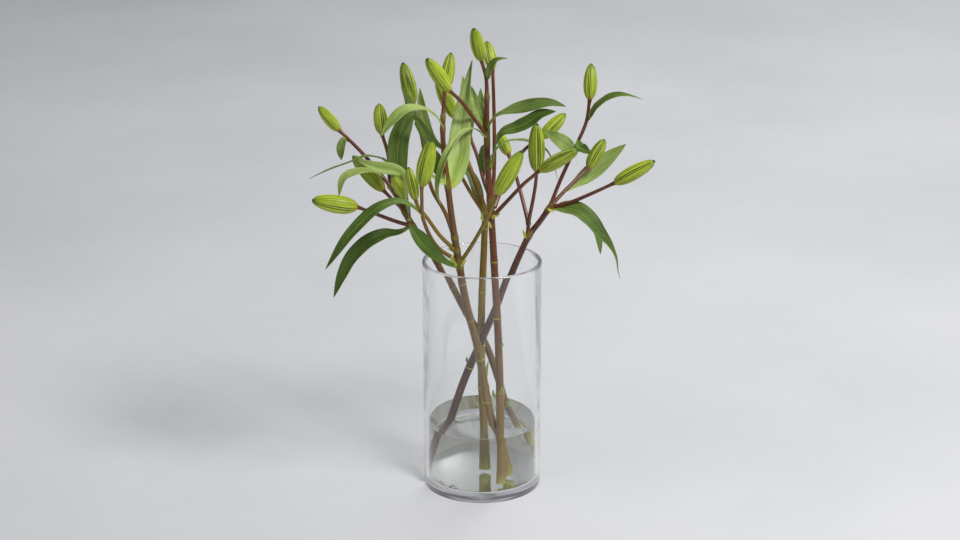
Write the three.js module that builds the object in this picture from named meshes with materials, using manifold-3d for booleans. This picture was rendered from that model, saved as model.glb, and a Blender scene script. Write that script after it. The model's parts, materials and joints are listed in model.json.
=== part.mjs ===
// Five cut lily stems in bud, standing in a clear glass cylinder vase with a little water.
// Millimetres, +Z up. The origin is the middle of the vase's underside, and the front is -Y.
import * as THREE from "three";
import { mergeVertices } from "three/addons/utils/BufferGeometryUtils.js";
import Module from "manifold-3d";

const wasm = await Module();
wasm.setup();

// Vase and water.
const VASE_RADIUS = 75;
const VASE_HEIGHT = 300;
const WALL = 5;
const FLOOR = 12;
const RIM_ROUND = 1.8;
const FOOT_ROUND = 3;
const WATER_LEVEL = 85;
const VASE_SIDES = 48;

// Hole that each stem stands in: how far it runs past the cut foot, the share of the stem that it covers,
// and its room round the stem in clearances.
const HOLE_OVERRUN = 8;
const HOLE_STRETCH = 0.2;
const HOLE_STEPS = 5;
const HOLE_ROOM = 3;

// Clearance kept between two pieces that touch.
const GAP = 0.3;

// Stems and flower stalks.
const STEM_SIDES = 8;
const STEM_STEPS = 13;
const STEM_TAPER = 2.5;
const STALK_SIDES = 6;
const STALK_STEPS = 4;
const STALK_ROOT = 2.6;
const STALK_NECK = 2.1;
const NODE_SWELL = 0.9;
const NODE_LENGTH = 10;
const JOINT_REACH = 4;
const JOINT_SINK = 0.2;
const SCAR_REACH = 2.1;
const SCAR_WIDTH = 2.4;
const SCAR_ROOT = 0.4;
const SCAR_TAPER = 0.45;
const SCAR_SIDES = 5;

// Buds: three broad outer petals with a groove between each two.
const BUD_SIDES = 12;
const MOST_BEND = 0.7;
const BUD_GROOVE = 0.055;
const BUD_PROFILE = [
  [0, 0.3], [0.07, 0.6], [0.21, 0.88], [0.4, 1], [0.61, 0.95], [0.8, 0.76], [0.93, 0.5], [1, 0.22],
];

// Leaves: a lance-shaped blade with a channel along the midrib and a slow wave in its edges.
const LEAF_THICKNESS = 0.9;
const LEAF_STEPS = 8;
const LEAF_HALF_STRIPS = 2;
const LEAF_FOLD = 0.32;
const LEAF_WAVE = 0.07;
const WAVE_RATE = 9;
const WAVE_SHIFT = 2.1;
const LEAF_PROFILE = [
  [0, 0.26], [0.12, 0.42], [0.3, 0.82], [0.5, 1], [0.68, 0.88], [0.84, 0.56], [0.94, 0.26], [1, 0.05],
];
const PROFILE_BELLY = 0.5;

// Points tried along a curve to find a place on it, and the distance under which two points are one.
const CURVE_SAMPLES = 400;
const WELD_DISTANCE = 1e-5;

// A stem's own colour stands with its points.
const FINISHES = {
  glass: { color: "#dfe6e8", roughness: 0.05, transparent: true, opacity: 0.25 },
  water: { color: "#e6eef0", roughness: 0.05, transparent: true, opacity: 0.25 },
  stem: { roughness: 0.6 },
  bud: { color: "#8fb23a", roughness: 0.5 },
  leaf: { color: "#4b7a24", roughness: 0.55 },
};

// Each stem: its centre line from the cut foot up, marks of stripped leaves as [height, side in degrees],
// the buds on their stalks, stalks that end in a leaf, and the leaves. A leaf's face lists the
// directions of its upper side from its base to its tip. Its belly is where along it the blade is widest,
// past its neck, the share of its length that is as narrow as its base.
const STEMS = [
  {
    name: "right",
    colour: "#5b3a3c",
    foot: 5.2,
    top: 3.4,
    path: [
      [-62, -10, 17], [-25, 3, 130], [-5, 11, 175], [19, 20, 226], [46, 34, 291], [61, 43, 320],
      [74, 48, 336], [86, 52, 353],
    ],
    scars: [[150, 300], [232, 150], [262, 330]],
    buds: [
      {
        stalk: [[58, 42, 318], [59, 37, 338], [64, 29, 369], [67, 23, 393], [68, 20, 409]],
        tip: [67, 14, 472],
        width: 20.5,
      },
      {
        stalk: [[59, 38, 334], [53, 52, 356], [44, 70, 386], [34, 84, 413]],
        tip: [21, 108, 436],
        width: 15,
      },
      {
        stalk: [[86, 52, 353], [99, 56, 387], [120, 61, 434], [131, 64, 461], [135, 66, 489]],
        tip: [137, 80, 532],
        width: 17,
      },
      {
        stalk: [[86, 52, 353], [104, 66, 369], [121, 80, 382], [136, 92, 393]],
        tip: [157, 110, 426],
        width: 17.5,
      },
      {
        stalk: [[86, 52, 353], [108, 42, 361], [136, 32, 376], [165, 22, 393]],
        tip: [214, 10, 425],
        width: 18,
      },
    ],
    leafyStalks: [],
    leaves: [
      {
        path: [[115, 59, 422], [105, 46, 435], [92, 34, 447], [77, 22, 461]],
        width: 21,
        belly: 0.42,
        face: [[-0.3, -1, 0.6], [-0.2, -1, 0.8]],
        neck: 0,
      },
      {
        path: [[121, 62, 439], [123, 50, 433], [129, 42, 430], [137, 36, 427]],
        width: 13,
        belly: 0.5,
        face: [[0, -0.8, 0.6], [0.3, -1, 0.5]],
        neck: 0,
      },
      {
        path: [
          [87, 51, 351], [105, 42, 355], [122, 34, 354], [135, 28, 345], [146, 22, 331],
          [160, 17, 312], [168, 12, 297], [171, 9, 282], [174, 8, 272],
        ],
        width: 21,
        belly: 0.27,
        face: [[0, -0.8, 0.8], [0.1, -0.9, 0.6], [0.9, -0.4, 0.3], [1, -0.2, 0.2]],
        neck: 0.05,
      },
      {
        path: [[85, 52, 349], [112, 60, 345], [133, 64, 334], [147, 64, 315], [152, 62, 287]],
        width: 10,
        belly: 0.7,
        face: [[0, 0.1, 1], [0.3, -1, 0.2]],
        neck: 0,
      },
      {
        path: [[104, 66, 369], [126, 98, 374], [150, 116, 388], [169, 124, 402], [186, 128, 415]],
        width: 22,
        belly: 0.56,
        face: [[0, -1, 0.7], [0, -1, 0.7]],
        neck: 0,
      },
      {
        path: [[133, 64, 462], [145, 56, 484], [162, 50, 497], [181, 46, 499], [200, 44, 495]],
        width: 14,
        belly: 0.4,
        face: [[-0.6, -0.7, 0.5], [-0.2, -0.3, 1], [0, 0, 1]],
        neck: 0,
      },
    ],
  },
  {
    name: "centre",
    colour: "#7d4a34",
    foot: 5.1,
    top: 2.9,
    path: [
      [21, -40, 16], [23, -28, 85], [23, -25, 121], [20, -18, 213], [16, -13, 283], [12, -9, 352],
      [7, -6, 424], [6, -4, 463], [6, -2, 512],
    ],
    scars: [[130, 20], [225, 200], [300, 330]],
    buds: [
      {
        stalk: [[6, -2, 509], [5, -3, 533], [1, -5, 549], [-1, -6, 556]],
        tip: [-10, -24, 599],
        width: 16.5,
      },
      {
        stalk: [[6, -4, 461], [-10, -24, 488], [-24, -42, 512], [-39, -58, 531]],
        tip: [-65, -82, 575],
        width: 17.5,
      },
      {
        stalk: [[12, -8, 374], [15, 10, 413], [15, 22, 474], [14, 28, 513], [13, 30, 536]],
        tip: [6, 46, 568],
        width: 15,
      },
      {
        stalk: [[15, -9, 361], [30, -20, 381], [51, -30, 407], [70, -38, 426]],
        tip: [116, -52, 456],
        width: 17,
      },
      {
        stalk: [[15, -9, 371], [32, 18, 403], [53, 44, 430], [75, 58, 442]],
        tip: [105, 78, 468],
        width: 17,
      },
    ],
    leafyStalks: [
      [[11, -8, 380], [2, 8, 401], [-6, 22, 428], [-15, 32, 450]],
    ],
    leaves: [
      {
        path: [
          [6, -4, 457], [-10, -36, 478], [-26, -64, 479], [-43, -88, 457], [-53, -96, 422],
          [-50, -96, 399],
        ],
        width: 14,
        belly: 0.5,
        face: [[0, -0.1, 1], [-0.9, -0.7, 0.1]],
        neck: 0.12,
      },
      {
        path: [[-15, 31, 448], [-17, 34, 471], [-20, 36, 499], [-24, 38, 526]],
        width: 17,
        belly: 0.45,
        face: [[0, -1, 0.2], [0, -1, 0.2]],
        neck: 0,
      },
      {
        path: [[6, -4, 464], [-2, -2, 483], [-9, 2, 502], [-13, 6, 521]],
        width: 15,
        belly: 0.45,
        face: [[0.2, -1, 0.2], [0.2, -1, 0.2]],
        neck: 0,
      },
      {
        path: [[7, -4, 471], [2, 20, 480], [-1, 28, 494], [-2, 32, 512]],
        width: 12,
        belly: 0.5,
        face: [[0, -1, 0.2], [0, -1, 0.2]],
        neck: 0,
      },
      {
        path: [[6, -4, 451], [2, 8, 441], [0, 12, 423], [3, 12, 403]],
        width: 10,
        belly: 0.5,
        face: [[-1, -1, 0], [-0.6, -1, 0]],
        neck: 0,
      },
      {
        path: [
          [7, -4, 466], [10, -12, 478], [17, -20, 490], [30, -27, 498], [58, -35, 506], [82, -41, 511],
          [101, -44, 508],
        ],
        width: 17,
        belly: 0.52,
        face: [[-0.8, -0.6, 0.1], [-0.3, -0.7, 0.6], [0, -0.7, 0.7], [0, -0.6, 0.8]],
        neck: 0.24,
      },
      {
        path: [
          [11, -8, 421], [15, -20, 441], [18, -28, 458], [25, -34, 473], [42, -38, 480],
          [57, -41, 488], [71, -43, 498], [89, -44, 502],
        ],
        width: 17,
        belly: 0.68,
        face: [[-0.3, -1, 0.1], [-0.5, -0.5, 0.8], [0, -0.8, 0.7], [0, -0.8, 0.7]],
        neck: 0.06,
      },
      {
        path: [
          [9, -5, 430], [22, 12, 444], [38, 26, 447], [60, 38, 442], [80, 42, 430], [89, 40, 414],
          [95, 36, 393],
        ],
        width: 8,
        belly: 0.5,
        face: [[0, 0.3, 1], [1, -0.1, 0.2]],
        neck: 0,
      },
      {
        path: [[6, -3, 531], [11, -14, 549], [19, -20, 559], [31, -26, 563]],
        width: 12,
        belly: 0.4,
        face: [[-0.3, -0.9, 0.4], [-0.2, -0.7, 0.8], [0, -0.3, 1]],
        neck: 0,
      },
    ],
  },
  {
    name: "left",
    colour: "#7a6038",
    foot: 5.1,
    top: 2.8,
    path: [
      [27, -10, 16], [14, -21, 85], [9, -27, 108], [-5, -41, 195], [-19, -51, 258], [-28, -58, 313],
      [-35, -64, 361], [-41, -66, 412], [-47, -54, 469], [-47, -46, 498],
    ],
    scars: [[120, 200], [180, 340], [236, 160], [286, 20]],
    buds: [
      {
        stalk: [[-47, -47, 494], [-46, -43, 511], [-45, -39, 526]],
        tip: [-37, -28, 570],
        width: 16,
      },
      {
        stalk: [[-27, -58, 314], [-10, -66, 344], [7, -74, 379], [18, -80, 408]],
        tip: [47, -88, 464],
        width: 20,
      },
      {
        stalk: [[-31, -58, 317], [-56, -76, 343], [-71, -88, 381], [-72, -94, 405], [-72, -96, 423]],
        tip: [-60, -104, 482],
        width: 20.5,
      },
      {
        stalk: [[-33, -61, 332], [-51, -69, 353], [-68, -73, 379], [-77, -72, 390], [-80, -70, 398]],
        tip: [-89, -62, 437],
        width: 14,
      },
      {
        stalk: [
          [-34, -62, 348], [-45, -40, 373], [-61, -8, 392], [-69, 30, 410], [-76, 70, 439],
          [-87, 96, 476],
        ],
        tip: [-100, 108, 527],
        width: 18.5,
      },
    ],
    leafyStalks: [],
    leaves: [
      {
        path: [
          [-47, -51, 482], [-54, -66, 500], [-68, -84, 515], [-90, -98, 517], [-107, -106, 504],
          [-120, -110, 487],
        ],
        width: 15,
        belly: 0.5,
        face: [[0.9, -0.1, 0.4], [0.2, -0.4, 0.9], [-0.2, -0.7, 0.8]],
        neck: 0.3,
      },
      {
        path: [[-67, 22, 408], [-64, 10, 439], [-71, 2, 465], [-84, -6, 483], [-97, -12, 464]],
        width: 15,
        belly: 0.4,
        face: [[0.5, -1, 0.1], [-0.7, -0.6, 0.7]],
        neck: 0,
      },
      {
        path: [
          [-41, -66, 412], [-33, -54, 434], [-28, -42, 453], [-26, -26, 474], [-21, -8, 507],
          [-12, 4, 554],
        ],
        width: 28,
        belly: 0.24,
        face: [[0.3, -1, 0.1], [-0.6, -1, 0.1]],
        neck: 0,
      },
      {
        path: [[-42, -65, 417], [-48, -74, 422], [-55, -80, 428], [-62, -84, 435]],
        width: 7,
        belly: 0.5,
        face: [[0, -1, 0.6], [0, -1, 0.6]],
        neck: 0,
      },
      {
        path: [[-42, -64, 420], [-51, -46, 427], [-58, -40, 443], [-70, -38, 462]],
        width: 17,
        belly: 0.5,
        face: [[0.3, -1, 0.2], [0.3, -1, 0.2]],
        neck: 0,
      },
      {
        path: [[-29, -57, 308], [-44, -74, 321], [-63, -88, 341], [-79, -96, 363], [-88, -92, 375]],
        width: 20,
        belly: 0.64,
        face: [[0.4, -1, 0.7], [0.6, -1, 0.2]],
        neck: 0.06,
      },
      {
        path: [
          [-70, -88, 382], [-84, -94, 398], [-100, -100, 406], [-124, -108, 400], [-155, -118, 372],
          [-187, -124, 328],
        ],
        width: 15,
        belly: 0.55,
        face: [[0.5, -0.6, 0.6], [-0.6, -0.8, 0.5]],
        neck: 0.06,
      },
    ],
  },
  {
    name: "back",
    colour: "#8a8a3c",
    foot: 5.3,
    top: 2.6,
    path: [
      [3, 0, 16], [2, 10, 85], [0, 19, 124], [-1, 30, 182], [1, 46, 262], [3, 54, 309], [3, 58, 345],
      [-5, 64, 372], [-18, 74, 406], [-28, 84, 432],
    ],
    scars: [[118, 180], [170, 350], [236, 200], [322, 340]],
    buds: [
      {
        stalk: [[-27, 83, 430], [-33, 88, 444], [-34, 92, 459]],
        tip: [-57, 100, 508],
        width: 18,
      },
    ],
    leafyStalks: [
      [[3, 58, 343], [-13, 58, 368], [-32, 60, 402], [-47, 64, 426]],
    ],
    leaves: [
      {
        path: [[-45, 64, 423], [-64, 66, 440], [-74, 68, 468], [-78, 72, 503]],
        width: 14,
        belly: 0.5,
        face: [[0, -1, 0.2], [0, -1, 0.2]],
        neck: 0,
      },
      {
        path: [[3, 58, 350], [-5, 80, 365], [-15, 92, 385], [-29, 96, 395]],
        width: 14,
        belly: 0.5,
        face: [[0, -1, 0.2], [0, -1, 0.4]],
        neck: 0,
      },
    ],
  },
  {
    name: "crossing",
    colour: "#6a4434",
    foot: 4.9,
    top: 3.0,
    path: [
      [49, 39, 16], [27, 47, 102], [3, 44, 170], [-20, 35, 210], [-38, 23, 249], [-57, 8, 294],
      [-72, 2, 322], [-92, -2, 355], [-110, -4, 392],
    ],
    scars: [[120, 60], [210, 200], [250, 30]],
    buds: [
      {
        stalk: [[-110, -4, 392], [-132, 4, 418], [-153, 12, 440], [-176, 20, 461]],
        tip: [-203, 42, 486],
        width: 14.5,
      },
      {
        stalk: [[-110, -4, 390], [-115, 12, 405], [-117, 30, 427], [-125, 46, 450]],
        tip: [-129, 62, 485],
        width: 17.5,
      },
      {
        stalk: [[-86, -1, 344], [-106, -14, 354], [-128, -28, 367], [-152, -42, 381]],
        tip: [-206, -56, 394],
        width: 22,
      },
      {
        stalk: [[-96, -2, 361], [-103, 10, 367], [-114, 22, 374], [-123, 30, 381]],
        tip: [-162, 48, 421],
        width: 19,
      },
      {
        stalk: [[-91, -2, 352], [-91, -12, 371], [-94, -16, 386]],
        tip: [-110, -22, 415],
        width: 15,
      },
    ],
    leafyStalks: [],
    leaves: [
      {
        path: [[-166, 16, 448], [-170, 11, 452], [-174, 8, 443], [-174, 7, 427]],
        width: 11,
        belly: 0.5,
        face: [[0, -0.6, 1], [-0.2, -1, 0.1]],
        neck: 0,
      },
      {
        path: [
          [-117, 22, 418], [-126, 8, 429], [-143, -6, 435], [-162, -14, 430], [-186, -22, 423],
          [-212, -28, 413],
        ],
        width: 11,
        belly: 0.4,
        face: [[0, 0.2, 1], [0, 0.2, 1]],
        neck: 0,
      },
      {
        path: [
          [-91, -2, 354], [-92, -36, 388], [-94, -46, 412], [-96, -51, 424], [-105, -55, 431],
          [-127, -60, 436], [-151, -64, 447],
        ],
        width: 16,
        belly: 0.66,
        face: [[0.9, -0.5, 0], [0.8, -0.6, 0.2], [0, -0.6, 0.8]],
        neck: 0.2,
      },
      {
        path: [[-122, 0, 407], [-135, -8, 417], [-152, -16, 419], [-169, -22, 412], [-176, -26, 390]],
        width: 12,
        belly: 0.6,
        face: [[0, -0.5, 1], [-0.9, -0.9, 0.2]],
        neck: 0,
      },
      {
        path: [
          [-96, -2, 360], [-99, 0, 391], [-104, 4, 425], [-103, 10, 452], [-96, 20, 473],
          [-91, 27, 492], [-100, 30, 515],
        ],
        width: 26,
        belly: 0.45,
        face: [[0, -1, 0.1], [0, -1, 0.1], [0.2, -1, 0.1], [0.9, -0.5, 0.1]],
        neck: 0.12,
      },
      {
        path: [
          [-87, -1, 344], [-102, -10, 339], [-121, -22, 340], [-140, -34, 334], [-158, -42, 318],
          [-172, -48, 294], [-183, -52, 268],
        ],
        width: 21,
        belly: 0.5,
        face: [[0, -0.7, 1], [-0.8, -1, 0.3]],
        neck: 0.05,
      },
    ],
  },
];

const vector = (point) => new THREE.Vector3(...point);
const curveThrough = (points) => new THREE.CatmullRomCurve3(points.map(vector), false, "centripetal");

// Straight-line reading of a [place, value] list.
function readProfile(profile, place) {
  for (let i = 1; i < profile.length; i += 1) {
    const [endPlace, endValue] = profile[i];
    if (place <= endPlace) {
      const [startPlace, startValue] = profile[i - 1];
      const share = (place - startPlace) / (endPlace - startPlace);
      return startValue + (endValue - startValue) * share;
    }
  }
  return profile[profile.length - 1][1];
}

// Direction at a place, 0 to 1, along a list of evenly spaced directions.
function readDirection(directions, place) {
  const reach = place * (directions.length - 1);
  const index = Math.min(Math.floor(reach), directions.length - 2);
  return vector(directions[index]).lerp(vector(directions[index + 1]), reach - index);
}

function closedGeometry(points, triangles) {
  const geometry = new THREE.BufferGeometry();
  geometry.setAttribute("position", new THREE.Float32BufferAttribute(points.flatMap((p) => p.toArray()), 3));
  let volume = 0;
  for (const [a, b, c] of triangles) {
    volume += points[a].dot(new THREE.Vector3().crossVectors(points[b], points[c]));
  }
  const outward = volume > 0 ? triangles : triangles.map(([a, b, c]) => [a, c, b]);
  geometry.setIndex(outward.flat());
  return geometry;
}

// Skin over rings of equal point count, closed by a fan at each end.
function loft(rings) {
  const count = rings[0].length;
  const points = rings.flat();
  const triangles = [];
  for (let i = 0; i + 1 < rings.length; i += 1) {
    for (let j = 0; j < count; j += 1) {
      const a = i * count + j;
      const b = i * count + ((j + 1) % count);
      triangles.push([a, b, b + count], [a, b + count, a + count]);
    }
  }
  const last = (rings.length - 1) * count;
  for (let j = 1; j + 1 < count; j += 1) {
    triangles.push([0, j + 1, j], [last, last + j, last + j + 1]);
  }
  return closedGeometry(points, triangles);
}

function ringAround(centre, across, along, radiusAt, sides) {
  const ring = [];
  for (let j = 0; j < sides; j += 1) {
    const turn = (2 * Math.PI * j) / sides;
    const radius = radiusAt(turn);
    ring.push(
      centre.clone()
        .addScaledVector(across, radius * Math.cos(turn))
        .addScaledVector(along, radius * Math.sin(turn)),
    );
  }
  return ring;
}

// Round tube along a curve. radiusAt takes the place along it, 0 to 1.
function tube(curve, radiusAt, sides, steps) {
  const frames = curve.computeFrenetFrames(steps, false);
  const rings = [];
  for (let i = 0; i <= steps; i += 1) {
    const place = i / steps;
    const radius = radiusAt(place);
    const centre = curve.getPointAt(place);
    rings.push(ringAround(centre, frames.normals[i], frames.binormals[i], () => radius, sides));
  }
  return loft(rings);
}

function toSolid(geometry) {
  const bare = geometry.clone();
  bare.deleteAttribute("normal");
  bare.deleteAttribute("uv");
  const merged = mergeVertices(bare, WELD_DISTANCE);
  return new wasm.Manifold(new wasm.Mesh({
    numProp: 3,
    vertProperties: new Float32Array(merged.attributes.position.array),
    triVerts: new Uint32Array(merged.index.array),
  }));
}

function toGeometry(solid) {
  const { vertProperties, triVerts } = solid.getMesh();
  const geometry = new THREE.BufferGeometry();
  geometry.setAttribute("position", new THREE.BufferAttribute(new Float32Array(vertProperties), 3));
  geometry.setIndex(new THREE.BufferAttribute(new Uint32Array(triVerts), 1));
  geometry.computeVertexNormals();
  return geometry;
}

function largestPiece(solid) {
  return solid.decompose().sort((a, b) => b.volume() - a.volume())[0];
}

// Place along a curve, 0 to 1, at which it passes nearest to a point.
function nearestPlace(curve, point) {
  let best = 0;
  let bestDistance = Infinity;
  for (let i = 0; i <= CURVE_SAMPLES; i += 1) {
    const distance = curve.getPointAt(i / CURVE_SAMPLES).distanceTo(point);
    if (distance < bestDistance) {
      best = i / CURVE_SAMPLES;
      bestDistance = distance;
    }
  }
  return best;
}

// Radius of a stem at a place, 0 to 1, along it: nearly even in the lower part, then thinner.
function stemRadius(stem, place) {
  return stem.foot + (stem.top - stem.foot) * place ** STEM_TAPER;
}

// Main axis of a stem.
function stemAxis(stem, grow) {
  const radiusAt = (place) => stemRadius(stem, place) + grow;
  return toSolid(tube(curveThrough(stem.path), radiusAt, STEM_SIDES, STEM_STEPS));
}

// Swollen joint round the main axis where a stalk or a leaf leaves it.
function joint(stem, point, grow) {
  const curve = curveThrough(stem.path);
  const place = nearestPlace(curve, point);
  const centre = curve.getPointAt(place);
  const along = curve.getTangentAt(place).multiplyScalar(NODE_LENGTH / 2);
  const route = new THREE.LineCurve3(centre.clone().sub(along), centre.clone().add(along));
  const plain = stemRadius(stem, place) - JOINT_SINK;
  const radiusAt = (share) => plain + NODE_SWELL * Math.sin(Math.PI * share) + grow;
  return toSolid(tube(route, radiusAt, STEM_SIDES, 2));
}

// Flower stalk: it starts inside the stem and ends square under its bud.
function stalk(points, grow) {
  const last = vector(points[points.length - 1]);
  const before = vector(points[points.length - 2]);
  const end = last.clone().addScaledVector(last.clone().sub(before).normalize(), grow);
  const curve = curveThrough([...points.slice(0, -1), end.toArray()]);
  const radiusAt = (place) => STALK_ROOT + (STALK_NECK - STALK_ROOT) * place + grow;
  return toSolid(tube(curve, radiusAt, STALK_SIDES, STALK_STEPS));
}

// Healed mark of a stripped leaf: a short bracket that points up and out.
function scar(stem, [height, side]) {
  const curve = curveThrough(stem.path);
  let place = 0;
  while (place < 1 && curve.getPointAt(place).z < height) place += 1 / CURVE_SAMPLES;
  const centre = curve.getPointAt(place);
  const turn = THREE.MathUtils.degToRad(side);
  const out = new THREE.Vector3(Math.cos(turn), Math.sin(turn), 0);
  const reach = stemRadius(stem, place);
  const route = new THREE.LineCurve3(
    centre.clone().addScaledVector(out, reach * SCAR_ROOT),
    centre.clone().addScaledVector(out, reach + SCAR_REACH).add(new THREE.Vector3(0, 0, SCAR_REACH)),
  );
  return toSolid(tube(route, (along) => SCAR_WIDTH * (1 - SCAR_TAPER * along), SCAR_SIDES, 1));
}

function stemSolid(stem, grow = 0) {
  const curve = curveThrough(stem.path);
  const stalks = [...stem.buds.map((bud) => bud.stalk), ...stem.leafyStalks];
  let solid = stemAxis(stem, grow);
  for (const points of stalks) solid = solid.add(stalk(points, grow));
  for (const mark of stem.scars) solid = solid.add(scar(stem, mark));
  const joints = [];
  for (const points of stalks) {
    const root = vector(points[0]);
    const onAxis = curve.getPointAt(nearestPlace(curve, root)).distanceTo(root) < JOINT_REACH;
    if (onAxis && joints.every((other) => other.distanceTo(root) > NODE_LENGTH)) {
      joints.push(root);
      solid = solid.add(joint(stem, root, grow));
    }
  }
  return solid;
}

function budSolid(bud) {
  const base = vector(bud.stalk[bud.stalk.length - 1]);
  const tip = vector(bud.tip);
  const axis = tip.clone().sub(base).normalize();
  const end = base.clone().sub(vector(bud.stalk[bud.stalk.length - 2])).normalize();
  const bend = Math.min(axis.angleTo(end), MOST_BEND);
  base.addScaledVector(axis, GAP + STALK_NECK * Math.tan(bend));
  const across = new THREE.Vector3(0, -1, 0).addScaledVector(axis, axis.y).normalize();
  const along = new THREE.Vector3().crossVectors(axis, across);
  const rings = BUD_PROFILE.map(([place, share]) => {
    const centre = base.clone().lerp(tip, place);
    const groove = BUD_GROOVE * Math.sin(Math.PI * place);
    const radiusAt = (turn) => (bud.width / 2) * share * (1 + groove * Math.cos(3 * turn));
    return ringAround(centre, across, along, radiusAt, BUD_SIDES);
  });
  return toSolid(loft(rings));
}

// Thin blade with one grid of points for each face, and the same diagonals on both.
function leafSolid(leaf) {
  const curve = curveThrough(leaf.path);
  const bellyPower = Math.log(PROFILE_BELLY) / Math.log(leaf.belly);
  const strips = 2 * LEAF_HALF_STRIPS;
  const columns = strips + 1;
  const upper = [];
  const lower = [];
  for (let i = 0; i <= LEAF_STEPS; i += 1) {
    const place = i / LEAF_STEPS;
    const centre = curve.getPointAt(place);
    const tangent = curve.getTangentAt(place);
    const face = readDirection(leaf.face, place);
    const side = new THREE.Vector3().crossVectors(tangent, face).normalize();
    const normal = new THREE.Vector3().crossVectors(side, tangent).normalize();
    const beyond = Math.max(0, (place - leaf.neck) / (1 - leaf.neck));
    const half = (leaf.width / 2) * readProfile(LEAF_PROFILE, beyond ** bellyPower);
    for (let j = 0; j <= strips; j += 1) {
      const share = (j - LEAF_HALF_STRIPS) / LEAF_HALF_STRIPS;
      const swing = Math.sin(WAVE_RATE * place + (share > 0 ? 0 : WAVE_SHIFT)) * Math.sin(Math.PI * place);
      const wave = LEAF_WAVE * leaf.width * share * share * swing;
      const lift = Math.abs(share) * half * LEAF_FOLD + wave;
      const point = centre.clone().addScaledVector(side, share * half).addScaledVector(normal, lift);
      upper.push(point.clone().addScaledVector(normal, LEAF_THICKNESS / 2));
      lower.push(point.clone().addScaledVector(normal, -LEAF_THICKNESS / 2));
    }
  }
  const offset = upper.length;
  const triangles = [];
  const quad = (a, b, c, d) => triangles.push([a, b, c], [a, c, d]);
  for (let i = 0; i < LEAF_STEPS; i += 1) {
    for (let j = 0; j < strips; j += 1) {
      const a = i * columns + j;
      quad(a, a + 1, a + 1 + columns, a + columns);
      quad(a + 1 + columns + offset, a + 1 + offset, a + offset, a + columns + offset);
    }
    const left = i * columns;
    const right = left + strips;
    quad(left, left + columns, left + columns + offset, left + offset);
    quad(right, right + offset, right + columns + offset, right + columns);
  }
  for (let j = 0; j < strips; j += 1) {
    const end = LEAF_STEPS * columns + j;
    quad(j, j + offset, j + 1 + offset, j + 1);
    quad(end, end + 1, end + 1 + offset, end + offset);
  }
  return toSolid(closedGeometry([...upper, ...lower], triangles));
}

function vaseGeometry() {
  const inner = VASE_RADIUS - WALL;
  const profile = [
    [0, 0],
    [VASE_RADIUS - FOOT_ROUND, 0],
    [VASE_RADIUS, FOOT_ROUND],
    [VASE_RADIUS, VASE_HEIGHT - RIM_ROUND],
    [VASE_RADIUS - RIM_ROUND, VASE_HEIGHT],
    [inner + RIM_ROUND, VASE_HEIGHT],
    [inner, VASE_HEIGHT - RIM_ROUND],
    [inner, FLOOR],
    [0, FLOOR],
  ];
  const lathe = new THREE.LatheGeometry(profile.map(([r, z]) => new THREE.Vector2(r, z)), VASE_SIDES);
  return lathe.rotateX(Math.PI / 2);
}

function waterSolid(stems) {
  const reach = VASE_RADIUS - WALL - GAP;
  const disc = [[0, FLOOR + GAP], [reach, FLOOR + GAP], [reach, WATER_LEVEL], [0, WATER_LEVEL]];
  const lathe = new THREE.LatheGeometry(disc.map(([r, z]) => new THREE.Vector2(r, z)), VASE_SIDES);
  let solid = toSolid(lathe.rotateX(Math.PI / 2));
  for (const stem of stems) {
    const curve = curveThrough(stem.path);
    const start = curve.getPointAt(0).addScaledVector(curve.getTangentAt(0), -HOLE_OVERRUN);
    const route = [start.toArray()];
    for (let i = 0; i < HOLE_STEPS; i += 1) {
      route.push(curve.getPointAt((HOLE_STRETCH * i) / (HOLE_STEPS - 1)).toArray());
    }
    const radius = stem.foot + HOLE_ROOM * GAP;
    solid = solid.subtract(toSolid(tube(curveThrough(route), () => radius, STEM_SIDES, HOLE_STEPS)));
  }
  return largestPiece(solid);
}

const group = new THREE.Group();
function addPiece(name, geometry, finish) {
  const mesh = new THREE.Mesh(geometry, new THREE.MeshStandardMaterial({ metalness: 0, ...finish }));
  mesh.name = name;
  group.add(mesh);
}

addPiece("vase", vaseGeometry(), FINISHES.glass);
addPiece("water", toGeometry(waterSolid(STEMS)), FINISHES.water);
for (const stem of STEMS) {
  const solid = largestPiece(stemSolid(stem));
  const clearance = stemSolid(stem, GAP);
  addPiece(`stem_${stem.name}`, toGeometry(solid), { color: stem.colour, ...FINISHES.stem });
  stem.buds.forEach((bud, index) => {
    addPiece(`bud_${stem.name}_${index + 1}`, toGeometry(budSolid(bud)), FINISHES.bud);
  });
  stem.leaves.forEach((leaf, index) => {
    const blade = largestPiece(leafSolid(leaf).subtract(clearance));
    addPiece(`leaf_${stem.name}_${index + 1}`, toGeometry(blade), FINISHES.leaf);
  });
}

export default group;
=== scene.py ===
import json
import math
from dataclasses import dataclass

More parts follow.
